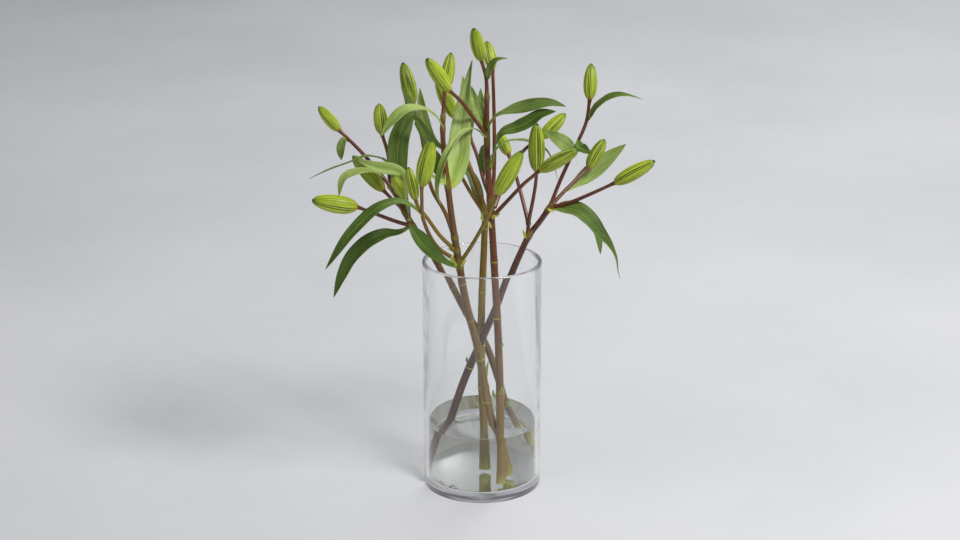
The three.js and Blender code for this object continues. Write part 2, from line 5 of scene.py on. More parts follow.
import bpy
import numpy as np
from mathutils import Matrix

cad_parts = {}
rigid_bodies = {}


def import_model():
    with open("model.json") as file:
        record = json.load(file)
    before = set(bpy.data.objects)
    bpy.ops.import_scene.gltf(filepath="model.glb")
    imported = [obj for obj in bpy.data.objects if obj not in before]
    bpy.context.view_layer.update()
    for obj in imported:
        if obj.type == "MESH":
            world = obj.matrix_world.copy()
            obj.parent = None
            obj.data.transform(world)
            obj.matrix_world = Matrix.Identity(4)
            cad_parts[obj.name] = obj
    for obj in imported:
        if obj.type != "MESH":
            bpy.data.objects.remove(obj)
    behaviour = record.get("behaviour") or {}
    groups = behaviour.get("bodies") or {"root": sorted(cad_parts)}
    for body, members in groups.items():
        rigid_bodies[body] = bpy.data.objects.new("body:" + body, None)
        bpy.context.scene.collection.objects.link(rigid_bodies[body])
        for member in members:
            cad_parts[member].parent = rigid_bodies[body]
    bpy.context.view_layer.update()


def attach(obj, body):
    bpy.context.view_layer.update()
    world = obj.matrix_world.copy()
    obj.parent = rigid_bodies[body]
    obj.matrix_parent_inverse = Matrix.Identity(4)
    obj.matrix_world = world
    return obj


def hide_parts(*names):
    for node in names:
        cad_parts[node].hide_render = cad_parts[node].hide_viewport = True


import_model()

MM = 0.001
TINY = 1e-12
SEED = 7
CURVE_STEPS = 61
VECTOR = "FLOAT_VECTOR"

# Vase and water. Flat faces have a ring at HUB of their radius. The water stands clear of the glass by
# WATER_GAP and climbs at its edge: CLIMB_PLACES says how far from the edge the curve has its points. HOOPS
# and HOOP_BREAKS say how closely the grey hoops in the base of the glass follow each other and break off.
VASE_RADIUS = 75
VASE_HEIGHT = 300
WALL = 5
FLOOR = 12
RIM_ROUND = 1.8
FOOT_ROUND = 3
FLOOR_ROUND = 5
ARC_STEPS = 8
HUB = 0.5
LATHE_SIDES = 160
GLASS_BOUNCES = 48
WATER_LEVEL = 85
WATER_GAP = 0.25
CLIMB_HEIGHT = 1.1
CLIMB_SPREAD = 1.3
CLIMB_PLACES = [0, 0.4, 0.9, 1.6, 2.6, 4, 6, 12, 35]
HOOPS = 240
HOOP_BREAKS = 12

# Stems and flower stalks. A swell adds to the radius, and a mark is fresh green on the skin. Both are given
# as height, spread along the stem and, where there is one, shift along it. A joint swells where a stalk or
# leaf starts nearer to the stem's axis than NODE_REACH. The grain of the skin is counted in GRAIN_UNIT.
STEM_STEPS = 260
STEM_SIDES = 20
STEM_TAPER = 2.5
STALK_STEPS = 60
STALK_ROOT = 2.6
STALK_NECK = 2.1
NODE_REACH = 6
NODE_SWELL = (0.75, 4.5)
NODE_MARK = (0.25, 3.2, 1)
SCAR_SWELL = (0.35, 4.5)
SCAR_MARK = (0.45, 0.64)
CUT_SWELL = (0.4, 7)
CUT_MARK = (0.6, 7)
ROOT_SWELL = (0.9, 5)
ROOT_MARK = (0.3, 2.5, 4)
NECK_SWELL = (0.7, 3.5)
SLENDER_FROM = 0.75
SLENDER_RATE = 2
GRAIN_UNIT = 10

# Crescent ridges of stripped leaves: arc in radians, and girth on a stem of SCAR_STEM radius. At its ends
# a ridge has SCAR_END of its girth.
SCAR_SWEEP = 3.3
SCAR_GIRTH = 0.55
SCAR_END = 0.2
SCAR_STEM = 4.5
SCAR_STEPS = 14
SCAR_SIDES = 8
SCAR_SIZES = (0.94, 1.04)

# Buds. A ridge runs along the bud at a turn from the nearest seam, in degrees. Its height is a share of
# the radius, and its paint is how pale, or with a minus how dark, it is. On one side of each seam the lip
# is lower, by FAR_LIP. From TIP_FROM of its length on the bud closes and its petals part in three points.
# TONE_STEP sets the grain of a bud apart from that of one with another tone.
BUD_ALONG = 84
BUD_AROUND = 120
BUD_SPACING = 0.94
BUD_PROFILE = [
    (0, 0.3), (0.07, 0.6), (0.21, 0.88), (0.4, 1), (0.61, 0.95), (0.8, 0.76), (0.93, 0.5), (1, 0.3),
]
PETALS = 3
PETAL_SIDE = 180 / PETALS
PETAL_LOBE = 0.035
BUD_RIDGES = {
    "lip": dict(turn=19, spread=6, height=0.05, paint=0.85),
    "rib": dict(turn=0, spread=4, height=0.03, paint=0.6),
    # The seam paint is partly the seam's own dark colour and partly painted shade in the sunken groove.
    "seam": dict(turn=8, spread=3.4, height=-0.1, paint=-1.2),
    "middle": dict(turn=PETAL_SIDE, spread=5, height=0.012, paint=0.3),
}
FAR_LIP = 0.7
RIDGE_START = 0.02
RIDGE_SKEW = 0.8
RIDGE_FADE = 0.4
TIP_FROM = 0.9
TIP_POWER = 1.5
TIP_FULL = 1.02
TIP_LEAST = 0.05
TIP_NARROW = 0.35
TIP_SPLIT = 0.5
TIP_NOTCH = 0.35
TIP_FLARE = 0.6
TIP_RISE = 0.012
BUD_POLES = (-0.004, 0.985)
TONE_STEP = 10

# Leaves. A blade folds along its midrib, most at its base, where it clasps the stem. It thins to its edges
# and its tip. Its edges wave and ripple, and a shift sets one edge apart from the other. LEAF_PROFILE is
# widest at PROFILE_BELLY. A blade is as pale as its tip from 1 / SHADE_RATE of its length on, and VEIN_STEP
# sets the veins of one leaf apart from those of the next.
BLADE_ROWS = 81
BLADE_COLUMNS = 17
LEAF_PROFILE = [
    (0, 0.26), (0.12, 0.42), (0.3, 0.82), (0.5, 1), (0.68, 0.88), (0.84, 0.56), (0.94, 0.26), (1, 0.03),
]
PROFILE_BELLY = 0.5
LEAF_WIDTH = 20
LEAF_THICKNESS = 0.7
EDGE_THINNING = 0.6
TIP_THINNING = 0.5
THIN_POWER = 3
LEAF_FOLD = 0.32
FOLD_EASE = 0.3
CLASP = 1.6
CLASP_FADE = 14.0
WAVE = 0.07
WAVE_RATE = 9.0
WAVE_SHIFT = 2.1
RIPPLE = 0.012
RIPPLE_RATE = 31.0
RIPPLE_SHIFT = 3.0
MERGE = 1e-6
LEAF_RIBS = 22
SHADE_RATE = 1.6
VEIN_STEP = 7

# Scales at the roots of stalks. SCALE_LINE has their points as (reach along the stalk, lift off its skin).
# They and the small sprouts have a coarser grid than leaves.
SPROUT_ROWS = 25
SPROUT_COLUMNS = 9
SCALE_LINE = [(1, -0.4), (3, 0.3), (5.5, 0.8), (8.5, 2.2)]
SCALE_WIDTH = 4.4
SCALE_BELLY = 0.4
SCALE_SHADE = (1.5, 1.3)
SCALE_SIDE = (0, 0.25, -1)

# Specks on the floor of the vase, near its wall: sides in degrees, reach as a share of its inner radius.
SPECKS = 60
SPECK_SIDES = (222, 318)
SPECK_SWAY = 11
SPECK_REACH = (0.7, 0.9)
SPECK_LIFT = 0.9
SPECK_SIZE = 0.9
SPECK_SIZES = (0.35, 1.0)
SPECK_SHAPE = (1.5, 1.0, 0.6)
SPECK_FINENESS = 2

# Camera, stage and light.
CAMERA_PLACE = (-0.0025, -2.571, 1.1365)
CAMERA_TILT = 71.7
CAMERA_LENS = 81
CAMERA_SENSOR = 36
CAMERA_REACH = 50
STAGE_FRONT = -4.5
STAGE_BACK = 4.4
STAGE_SIDE = 5.0
STAGE_TOP = 4.0
STAGE_BEND = 0.5
STAGE_STEPS = 24
WORLD_GREY = 0.92
WORLD_STRENGTH = 0.3
LIGHTS = [
    dict(name="key", place=(1.6, -1.25, 2.45), target=(0, 0, 0.3), size=(0.8, 0.8), power=72,
         colour=(1.0, 0.985, 0.955), mirrored=True),
    dict(name="fill", place=(-1.9, -1.3, 1.5), target=(0, 0, 0.3), size=(0.7, 1.2), power=8,
         colour=(0.96, 0.98, 1.0), mirrored=True),
    dict(name="back", place=(0.6, 1.4, 2.6), target=(0, 0.3, 0.3), size=(2.0, 1.0), power=20,
         colour=(1.0, 1.0, 1.0), mirrored=False),
    dict(name="far", place=(1.5, 2.8, 3.2), target=(1.2, 2.8, 0), size=(2.4, 1.6), power=55,
         colour=(1.0, 1.0, 1.0), mirrored=False),
]


@dataclass
class Bud:
    """A bud on its stalk. Roll turns its seams round its axis, in degrees. Tone runs from 0, dark, to 1,
    pale, and green from 0, where the stalk is red, to 1."""
    stalk: list
    tip: tuple
    width: float
    roll: float
    # Tone is partly the bud's own colour and partly painted light and shade: a bud in shadow has a darker
    # tone.
    tone: float
    green: float = 0.1


@dataclass
class Leaf:
    """A blade along a path. Face lists the directions of its upper side from its base to its tip, and shade
    is how pale it is at both. Neck is the share of its length that is as narrow as its base, and belly is
    where along the rest it is widest."""
    path: list
    width: float
    face: list
    # Shade is partly the leaf's own paleness and partly painted light and shade: leaves in shadow are
    # darker.
    shade: tuple
    belly: float = PROFILE_BELLY
    neck: float = 0


@dataclass
class Stem:
    """A stem from its cut foot up. Bark and fresh are its colours, and green is how fresh it is at its foot
    and at the rim of the vase. Foot and top are radii. A scar is (height, side in degrees). A leafy stalk
    ends in a leaf instead of a bud."""
    name: str
    bark: str
    fresh: str
    green: tuple
    foot: float
    top: float
    path: list
    scars: list
    buds: list
    leaves: list
    sprouts: list
    leafy_stalks: tuple = ()


# The five stems and what grows on them. Places are (x, y, z), with x to the right, y away from the camera
# and z up from the foot of the vase.
# Leaf shades, like bud tones, paint each part's own colour and also the light and shade on it.
RIGHT = Stem(
    "right", bark="#412222", fresh="#6a5222", green=(0.15, 0.05), foot=5.2, top=3.4,
    path=[(-62, -10, 17), (-25, 3, 130), (-5, 11, 175), (19, 20, 226), (46, 34, 291), (61, 43, 320),
          (74, 48, 336), (86, 52, 353)],
    scars=[(150, 300), (232, 150), (262, 330)],
    buds=[
        Bud([(58, 42, 318), (59, 37, 338), (64, 29, 369), (67, 23, 393), (68, 20, 409)],
            tip=(67, 14, 472), width=20.5, roll=-42, tone=0.42),
        Bud([(59, 38, 334), (53, 52, 356), (44, 70, 386), (34, 84, 413)],
            tip=(21, 108, 436), width=15, roll=30, tone=0.35),
        Bud([(86, 52, 353), (99, 56, 387), (120, 61, 434), (131, 64, 461), (135, 66, 489)],
            tip=(137, 80, 532), width=17, roll=42, tone=0.7),
        Bud([(86, 52, 353), (104, 66, 369), (121, 80, 382), (136, 92, 393)],
            tip=(157, 110, 426), width=17.5, roll=50, tone=0.3),
        Bud([(86, 52, 353), (108, 42, 361), (136, 32, 376), (165, 22, 393)],
            tip=(214, 10, 425), width=18, roll=35, tone=0.75),
    ],
    leaves=[
        Leaf([(115, 59, 422), (105, 46, 435), (92, 34, 447), (77, 22, 461)],
             width=21, face=[(-0.3, -1, 0.6), (-0.2, -1, 0.8)], shade=(0.6, 0.35), belly=0.42),
        Leaf([(121, 62, 439), (123, 50, 433), (129, 42, 430), (137, 36, 427)],
             width=13, face=[(0, -0.8, 0.6), (0.3, -1, 0.5)], shade=(0.2, 0.05)),
        Leaf([(87, 51, 351), (105, 42, 355), (122, 34, 354), (135, 28, 345), (146, 22, 331),
              (160, 17, 312), (168, 12, 297), (171, 9, 282), (174, 8, 272)],
             width=21, face=[(0, -0.8, 0.8), (0.1, -0.9, 0.6), (0.9, -0.4, 0.3), (1, -0.2, 0.2)],
             shade=(0.42, -0.15), belly=0.27, neck=0.05),
        Leaf([(85, 52, 349), (112, 60, 345), (133, 64, 334), (147, 64, 315), (152, 62, 287)],
             width=10, face=[(0, 0.1, 1), (0.3, -1, 0.2)], shade=(0.3, 0.2), belly=0.7),
        Leaf([(104, 66, 369), (126, 98, 374), (150, 116, 388), (169, 124, 402), (186, 128, 415)],
             width=22, face=[(0, -1, 0.7)], shade=(0.6, 0.4), belly=0.56),
        Leaf([(133, 64, 462), (145, 56, 484), (162, 50, 497), (181, 46, 499), (200, 44, 495)],
             width=14, face=[(-0.6, -0.7, 0.5), (-0.2, -0.3, 1), (0, 0, 1)], shade=(0.25, 0.05),
             belly=0.4),
    ],
    sprouts=[
        Leaf([(-41, 4, 76), (-33, -6, 79), (-24, -12, 79)],
             width=4.2, face=[(0, -0.2, 1)], shade=(0.6, 0.4)),
        Leaf([(-17, 8, 155), (-19, 5, 160), (-20, 4, 166)],
             width=4, face=[(-0.4, -1, 0.1)], shade=(0.3, 0.2)),
        Leaf([(57, 36, 316), (54, 33, 321), (53, 32, 325), (51, 31, 330)],
             width=3.6, face=[(-0.2, -1, 0.1)], shade=(1.6, 1.5)),
        Leaf([(91, 48, 348), (87, 45, 350), (85, 44, 352), (82, 44, 353)],
             width=3.2, face=[(0, -1, 0.6)], shade=(1.6, 1.4)),
    ],
)
CENTRE = Stem(
    "centre", bark="#5e2a12", fresh="#7a5f18", green=(0.85, 0.05), foot=5.1, top=2.9,
    path=[(21, -40, 16), (23, -28, 85), (23, -25, 121), (20, -18, 213), (16, -13, 283), (12, -9, 352),
          (7, -6, 424), (6, -4, 463), (6, -2, 512)],
    scars=[(130, 20), (225, 200), (300, 330)],
    buds=[
        Bud([(6, -2, 509), (5, -3, 533), (1, -5, 549), (-1, -6, 556)],
            tip=(-10, -24, 599), width=16.5, roll=20, tone=0.7),
        Bud([(6, -4, 461), (-10, -24, 488), (-24, -42, 512), (-39, -58, 531)],
            tip=(-65, -82, 575), width=17.5, roll=25, tone=0.95),
        Bud([(12, -8, 374), (15, 10, 413), (15, 22, 474), (14, 28, 513), (13, 30, 536)],
            tip=(6, 46, 568), width=15, roll=48, tone=0.68, green=0.3),
        Bud([(15, -9, 361), (30, -20, 381), (51, -30, 407), (70, -38, 426)],
            tip=(116, -52, 456), width=17, roll=10, tone=0.2, green=0.3),
        Bud([(15, -9, 371), (32, 18, 403), (53, 44, 430), (75, 58, 442)],
            tip=(105, 78, 468), width=17, roll=58, tone=0.72),
    ],
    leaves=[
        Leaf([(6, -4, 457), (-10, -36, 478), (-26, -64, 479), (-43, -88, 457), (-53, -96, 422),
              (-50, -96, 399)],
             width=14, face=[(0, -0.1, 1), (-0.9, -0.7, 0.1)], shade=(0.9, 0.75), neck=0.12),
        Leaf([(-15, 31, 448), (-17, 34, 471), (-20, 36, 499), (-24, 38, 526)],
             width=17, face=[(0, -1, 0.2)], shade=(0.55, 0.6), belly=0.45),
        Leaf([(6, -4, 464), (-2, -2, 483), (-9, 2, 502), (-13, 6, 521)],
             width=15, face=[(0.2, -1, 0.2)], shade=(0.4, 0.55), belly=0.45),
        Leaf([(7, -4, 471), (2, 20, 480), (-1, 28, 494), (-2, 32, 512)],
             width=12, face=[(0, -1, 0.2)], shade=(0.25, 0.25)),
        Leaf([(6, -4, 451), (2, 8, 441), (0, 12, 423), (3, 12, 403)],
             width=10, face=[(-1, -1, 0), (-0.6, -1, 0)], shade=(0.25, 0.1)),
        Leaf([(7, -4, 466), (10, -12, 478), (17, -20, 490), (30, -27, 498), (58, -35, 506),
              (82, -41, 511), (101, -44, 508)],
             width=17, face=[(-0.8, -0.6, 0.1), (-0.3, -0.7, 0.6), (0, -0.7, 0.7), (0, -0.6, 0.8)],
             shade=(0.95, 0.1), belly=0.52, neck=0.24),
        Leaf([(11, -8, 421), (15, -20, 441), (18, -28, 458), (25, -34, 473), (42, -38, 480),
              (57, -41, 488), (71, -43, 498), (89, -44, 502)],
             width=17, face=[(-0.3, -1, 0.1), (-0.5, -0.5, 0.8), (0, -0.8, 0.7), (0, -0.8, 0.7)],
             shade=(0.7, 0), belly=0.68, neck=0.06),
        Leaf([(9, -5, 430), (22, 12, 444), (38, 26, 447), (60, 38, 442), (80, 42, 430), (89, 40, 414),
              (95, 36, 393)], width=8, face=[(0, 0.3, 1), (1, -0.1, 0.2)], shade=(0.35, 0.2)),
        Leaf([(6, -3, 531), (11, -14, 549), (19, -20, 559), (31, -26, 563)],
             width=12, face=[(-0.3, -0.9, 0.4), (-0.2, -0.7, 0.8), (0, -0.3, 1)], shade=(0.55, 0.2),
             belly=0.4),
    ],
    sprouts=[
        Leaf([(19, -25, 122), (15, -28, 129), (14, -29, 136)],
             width=4.5, face=[(-0.4, -1, 0.1)], shade=(0.9, 0.7)),
        Leaf([(23, -25, 126), (25, -28, 133), (25, -30, 141)],
             width=4.5, face=[(0.4, -1, 0.1)], shade=(0.8, 0.5)),
        Leaf([(23, -20, 187), (25, -23, 192), (25, -25, 198)],
             width=4, face=[(0.4, -1, 0.1)], shade=(0.7, 0.4)),
        Leaf([(12, -12, 344), (10, -15, 349), (9, -16, 355)],
             width=3.8, face=[(-0.3, -1, 0.2)], shade=(1.6, 1.5)),
        Leaf([(11, -12, 357), (15, -17, 361), (20, -18, 362)],
             width=4, face=[(0.1, -1, 0.6)], shade=(1.6, 1.5)),
    ],
    leafy_stalks=[[(11, -8, 380), (2, 8, 401), (-6, 22, 428), (-15, 32, 450)]],
)
LEFT = Stem(
    "left", bark="#5c3814", fresh="#7d6a14", green=(0.8, 0.1), foot=5.1, top=2.8,
    path=[(27, -10, 16), (14, -21, 85), (9, -27, 108), (-5, -41, 195), (-19, -51, 258), (-28, -58, 313),
          (-35, -64, 361), (-41, -66, 412), (-47, -54, 469), (-47, -46, 498)],
    scars=[(120, 200), (180, 340), (236, 160), (286, 20)],
    buds=[
        Bud([(-47, -47, 494), (-46, -43, 511), (-45, -39, 526)],
            tip=(-37, -28, 570), width=16, roll=52, tone=0.62),
        Bud([(-27, -58, 314), (-10, -66, 344), (7, -74, 379), (18, -80, 408)],
            tip=(47, -88, 464), width=20, roll=-15, tone=0.85, green=0.85),
        Bud([(-31, -58, 317), (-56, -76, 343), (-71, -88, 381), (-72, -94, 405), (-72, -96, 423)],
            tip=(-60, -104, 482), width=20.5, roll=30, tone=0.8, green=0.55),
        Bud([(-33, -61, 332), (-51, -69, 353), (-68, -73, 379), (-77, -72, 390), (-80, -70, 398)],
            tip=(-89, -62, 437), width=14, roll=-50, tone=0.42, green=0.9),
        Bud([(-34, -62, 348), (-45, -40, 373), (-61, -8, 392), (-69, 30, 410), (-76, 70, 439),
             (-87, 96, 476)], tip=(-100, 108, 527), width=18.5, roll=20, tone=0, green=0.5),
    ],
    leaves=[
        Leaf([(-47, -51, 482), (-54, -66, 500), (-68, -84, 515), (-90, -98, 517), (-107, -106, 504),
              (-120, -110, 487)],
             width=15, face=[(0.9, -0.1, 0.4), (0.2, -0.4, 0.9), (-0.2, -0.7, 0.8)], shade=(0.9, 0.55),
             neck=0.3),
        Leaf([(-67, 22, 408), (-64, 10, 439), (-71, 2, 465), (-84, -6, 483), (-97, -12, 464)],
             width=15, face=[(0.5, -1, 0.1), (-0.7, -0.6, 0.7)], shade=(0.35, 0.15), belly=0.4),
        Leaf([(-41, -66, 412), (-33, -54, 434), (-28, -42, 453), (-26, -26, 474), (-21, -8, 507),
              (-12, 4, 554)],
             width=28, face=[(0.3, -1, 0.1), (-0.6, -1, 0.1)], shade=(1, 0.42), belly=0.24),
        Leaf([(-42, -65, 417), (-48, -74, 422), (-55, -80, 428), (-62, -84, 435)],
             width=7, face=[(0, -1, 0.6)], shade=(0.9, 0.8)),
        Leaf([(-42, -64, 420), (-51, -46, 427), (-58, -40, 443), (-70, -38, 462)],
             width=17, face=[(0.3, -1, 0.2)], shade=(0.1, 0.05)),
        Leaf([(-29, -57, 308), (-44, -74, 321), (-63, -88, 341), (-79, -96, 363), (-88, -92, 375)],
             width=20, face=[(0.4, -1, 0.7), (0.6, -1, 0.2)], shade=(0.15, -0.05), belly=0.64, neck=0.06),
        Leaf([(-70, -88, 382), (-84, -94, 398), (-100, -100, 406), (-124, -108, 400), (-155, -118, 372),
              (-187, -124, 328)],
             width=15, face=[(0.5, -0.6, 0.6), (-0.6, -0.8, 0.5)], shade=(0.4, -0.15), belly=0.55,
             neck=0.06),
    ],
    sprouts=[
        Leaf([(-28, -60, 310), (-34, -64, 316), (-37, -66, 323), (-34, -66, 330)],
             width=4.4, face=[(-0.3, -1, 0.2)], shade=(1.5, 1.3)),
        Leaf([(-28, -60, 310), (-23, -66, 316), (-21, -68, 323)],
             width=4, face=[(0.4, -1, 0.2)], shade=(1.5, 1.3)),
        Leaf([(-43, -66, 417), (-48, -71, 426), (-49, -73, 435)],
             width=6, face=[(-0.3, -1, 0.2)], shade=(1, 0.9)),
    ],
)
BACK = Stem(
    "back", bark="#5c3e10", fresh="#776214", green=(0.85, 0.6), foot=5.3, top=2.6,
    path=[(3, 0, 16), (2, 10, 85), (0, 19, 124), (-1, 30, 182), (1, 46, 262), (3, 54, 309), (3, 58, 345),
          (-5, 64, 372), (-18, 74, 406), (-28, 84, 432)],
    scars=[(118, 180), (170, 350), (236, 200), (322, 340)],
    buds=[
        Bud([(-27, 83, 430), (-33, 88, 444), (-34, 92, 459)],
            tip=(-57, 100, 508), width=18, roll=28, tone=0.75, green=0.6),
    ],
    leaves=[
        Leaf([(-45, 64, 423), (-64, 66, 440), (-74, 68, 468), (-78, 72, 503)],
             width=14, face=[(0, -1, 0.2)], shade=(0.3, 0.35)),
        Leaf([(3, 58, 350), (-5, 80, 365), (-15, 92, 385), (-29, 96, 395)],
             width=14, face=[(0, -1, 0.2), (0, -1, 0.4)], shade=(0.2, 0.1)),
    ],
    sprouts=[
        Leaf([(0, 23, 121), (5, 20, 131), (6, 19, 142), (9, 20, 155)],
             width=4, face=[(0.4, -1, 0.1), (-0.3, -1, 0.2)], shade=(0.9, 0.5)),
        Leaf([(3, 20, 107), (7, 17, 115), (9, 17, 124)],
             width=5, face=[(0.4, -1, 0.1)], shade=(0.8, 0.6)),
        Leaf([(3, 52, 333), (0, 48, 340), (1, 47, 347)],
             width=3.8, face=[(-0.3, -1, 0.2)], shade=(1.3, 1.1)),
    ],
    leafy_stalks=[[(3, 58, 343), (-13, 58, 368), (-32, 60, 402), (-47, 64, 426)]],
)
CROSSING = Stem(
    "crossing", bark="#4f2c16", fresh="#7a5f20", green=(0.4, 0.3), foot=4.9, top=3,
    path=[(49, 39, 16), (27, 47, 102), (3, 44, 170), (-20, 35, 210), (-38, 23, 249), (-57, 8, 294),
          (-72, 2, 322), (-92, -2, 355), (-110, -4, 392)],
    scars=[(120, 60), (210, 200), (250, 30)],
    buds=[
        Bud([(-110, -4, 392), (-132, 4, 418), (-153, 12, 440), (-176, 20, 461)],
            tip=(-203, 42, 486), width=14.5, roll=40, tone=0.6),
        Bud([(-110, -4, 390), (-115, 12, 405), (-117, 30, 427), (-125, 46, 450)],
            tip=(-129, 62, 485), width=17.5, roll=-38, tone=0.6),
        Bud([(-86, -1, 344), (-106, -14, 354), (-128, -28, 367), (-152, -42, 381)],
            tip=(-206, -56, 394), width=22, roll=48, tone=0.85),
        Bud([(-96, -2, 361), (-103, 10, 367), (-114, 22, 374), (-123, 30, 381)],
            tip=(-162, 48, 421), width=19, roll=15, tone=0.22),
        Bud([(-91, -2, 352), (-91, -12, 371), (-94, -16, 386)],
            tip=(-110, -22, 415), width=15, roll=60, tone=0.75, green=0.4),
    ],
    leaves=[
        Leaf([(-166, 16, 448), (-170, 11, 452), (-174, 8, 443), (-174, 7, 427)],
             width=11, face=[(0, -0.6, 1), (-0.2, -1, 0.1)], shade=(0.3, 0.25)),
        Leaf([(-117, 22, 418), (-126, 8, 429), (-143, -6, 435), (-162, -14, 430), (-186, -22, 423),
              (-212, -28, 413)], width=11, face=[(0, 0.2, 1)], shade=(0.3, 0.05), belly=0.4),
        Leaf([(-91, -2, 354), (-92, -36, 388), (-94, -46, 412), (-96, -51, 424), (-105, -55, 431),
              (-127, -60, 436), (-151, -64, 447)],
             width=16, face=[(0.9, -0.5, 0), (0.8, -0.6, 0.2), (0, -0.6, 0.8)], shade=(0.45, 0.5),
             belly=0.66, neck=0.2),
        Leaf([(-122, 0, 407), (-135, -8, 417), (-152, -16, 419), (-169, -22, 412), (-176, -26, 390)],
             width=12, face=[(0, -0.5, 1), (-0.9, -0.9, 0.2)], shade=(0.75, 0.85), belly=0.6),
        Leaf([(-96, -2, 360), (-99, 0, 391), (-104, 4, 425), (-103, 10, 452), (-96, 20, 473),
              (-91, 27, 492), (-100, 30, 515)],
             width=26, face=[(0, -1, 0.1), (0, -1, 0.1), (0.2, -1, 0.1), (0.9, -0.5, 0.1)],
             shade=(0.12, 0.1), belly=0.45, neck=0.12),
        Leaf([(-87, -1, 344), (-102, -10, 339), (-121, -22, 340), (-140, -34, 334), (-158, -42, 318),
              (-172, -48, 294), (-183, -52, 268)],
             width=21, face=[(0, -0.7, 1), (-0.8, -1, 0.3)], shade=(0.12, -0.1), neck=0.05),
    ],
    sprouts=[
        Leaf([(29, 42, 73), (33, 38, 83), (35, 36, 91), (40, 36, 95)],
             width=4, face=[(0, -1, 0.3), (-0.4, -1, 0.3)], shade=(0.9, 0.6)),
        Leaf([(31, 42, 78), (37, 39, 83), (42, 38, 85)],
             width=3.4, face=[(0, -1, 0.8)], shade=(0.8, 0.6)),
    ],
)
STEMS = [RIGHT, CENTRE, LEFT, BACK, CROSSING]


# ---------------------------------------------------------------- curves and profiles

def unit(vectors):
    """The same directions with a length of one."""
    return vectors / np.maximum(np.linalg.norm(vectors, axis=-1, keepdims=True), TINY)


def cubic_between(start, end, leave, arrive, share):
    """Smooth step from start to end with the given slopes at both."""
    rise = end - start
    cubic = leave + arrive - 2 * rise
    square = 3 * rise - 2 * leave - arrive
    return ((cubic * share + square) * share + leave) * share + start


def read_line(wanted, places, points):
    """Points at the wanted places of a line that has its points at the given places."""
    return np.stack([np.interp(wanted, places, column) for column in np.transpose(points)], axis=1)


def read_profile(profile, places):
    """Smooth reading of a list of (place, value)."""
    x, y = np.array(profile, float).T
    slopes = np.gradient(y, x)
    index = np.clip(np.searchsorted(x, places, side="right") - 1, 0, len(x) - 2)
    width = x[index + 1] - x[index]
    share = np.clip((places - x[index]) / width, 0, 1)
    return cubic_between(y[index], y[index + 1], slopes[index] * width, slopes[index + 1] * width, share)


def smooth_path(points, count):
    """Evenly spaced places, in metres, on the centripetal curve through the points, and its directions."""
    knots = np.array(points, float) * MM
    knots = np.vstack([2 * knots[0] - knots[1], knots, 2 * knots[-1] - knots[-2]])
    gaps = np.linalg.norm(np.diff(knots, axis=0), axis=1) ** 0.5
    steps = np.linspace(0, 1, CURVE_STEPS)[1:, None]
    line = [knots[1:2]]
    for i in range(1, len(knots) - 2):
        before, start, end, after = knots[i - 1:i + 3]
        last, this, following = gaps[i - 1:i + 2]
        straight = (end - start) / this
        leave = ((start - before) / last - (end - before) / (last + this) + straight) * this
        arrive = (straight - (after - start) / (this + following) + (after - end) / following) * this
        line.append(cubic_between(start, end, leave, arrive, steps))
    line = np.vstack(line)
    length = np.concatenate([[0], np.cumsum(np.linalg.norm(np.diff(line, axis=0), axis=1))])
    places = read_line(np.linspace(0, length[-1], count), length, line)
    return places, unit(np.gradient(places, axis=0))


def bump_at(distance, height, spread, shift=0):
    """A smooth bump, as high as given where the distance is equal to the shift."""
    return height * np.exp(-((distance - shift) / spread) ** 2)


def row_at_height(axis, height):
    """The first row of a stem's axis that is at the height or above it."""
    return int(np.argmax(axis[:, 2] >= height * MM))


# ---------------------------------------------------------------- node trees

class Value:
    """An output in a node tree. Arithmetic on it adds Math nodes, or Vector Math nodes on a vector."""

    def __init__(self, tree, socket):
        self.tree = tree
        self.socket = socket

    def combine(self, operation, first, second):
        kind = "ShaderNodeMath"
        values = [first, second]
        if any(isinstance(v, Value) and v.socket.type == "VECTOR" for v in values):
            kind = "ShaderNodeVectorMath"
            if operation == "MULTIPLY":
                operation = "SCALE"
                values = {0: first, 3: second}
        return self.tree.add(kind, values, operation=operation)

    def __add__(self, other):
        return self.combine("ADD", self, other)

    def __radd__(self, other):
        return self.combine("ADD", other, self)

    def __sub__(self, other):
        return self.combine("SUBTRACT", self, other)

    def __rsub__(self, other):
        return self.combine("SUBTRACT", other, self)

    def __mul__(self, other):
        return self.combine("MULTIPLY", self, other)

    def __truediv__(self, other):
        return self.combine("DIVIDE", self, other)

    def __pow__(self, other):
        return self.combine("POWER", self, other)


class Tree:
    """A node tree of shader or geometry nodes, with one method that adds any node."""

    def __init__(self, nodes):
        self.tree = nodes

    def add(self, kind, values=(), output=0, **settings):
        """Add a node, fill its inputs by name or in order, and give back one of its outputs."""
        node = self.tree.nodes.new(kind)
        for key, value in settings.items():
            setattr(node, key, value)
        pairs = values.items() if isinstance(values, dict) else enumerate(values)
        for key, value in pairs:
            if isinstance(value, Value):
                self.tree.links.new(value.socket, node.inputs[key])
            else:
                node.inputs[key].default_value = value
        return Value(self, node.outputs[output]) if len(node.outputs) else None

    def function(self, operation, *values):
        return self.add("ShaderNodeMath", values, operation=operation)

    def xyz(self, x, y, z):
        return self.add("ShaderNodeCombineXYZ", [x, y, z])


# ---------------------------------------------------------------- materials

def rgba(colour):
    """Scene-linear colour of a web colour, by the sRGB curve."""
    parts = [int(colour[i:i + 2], 16) / 255 for i in (1, 3, 5)]
    return [p / 12.92 if p <= 0.04045 else ((p + 0.055) / 1.055) ** 2.4 for p in parts] + [1]


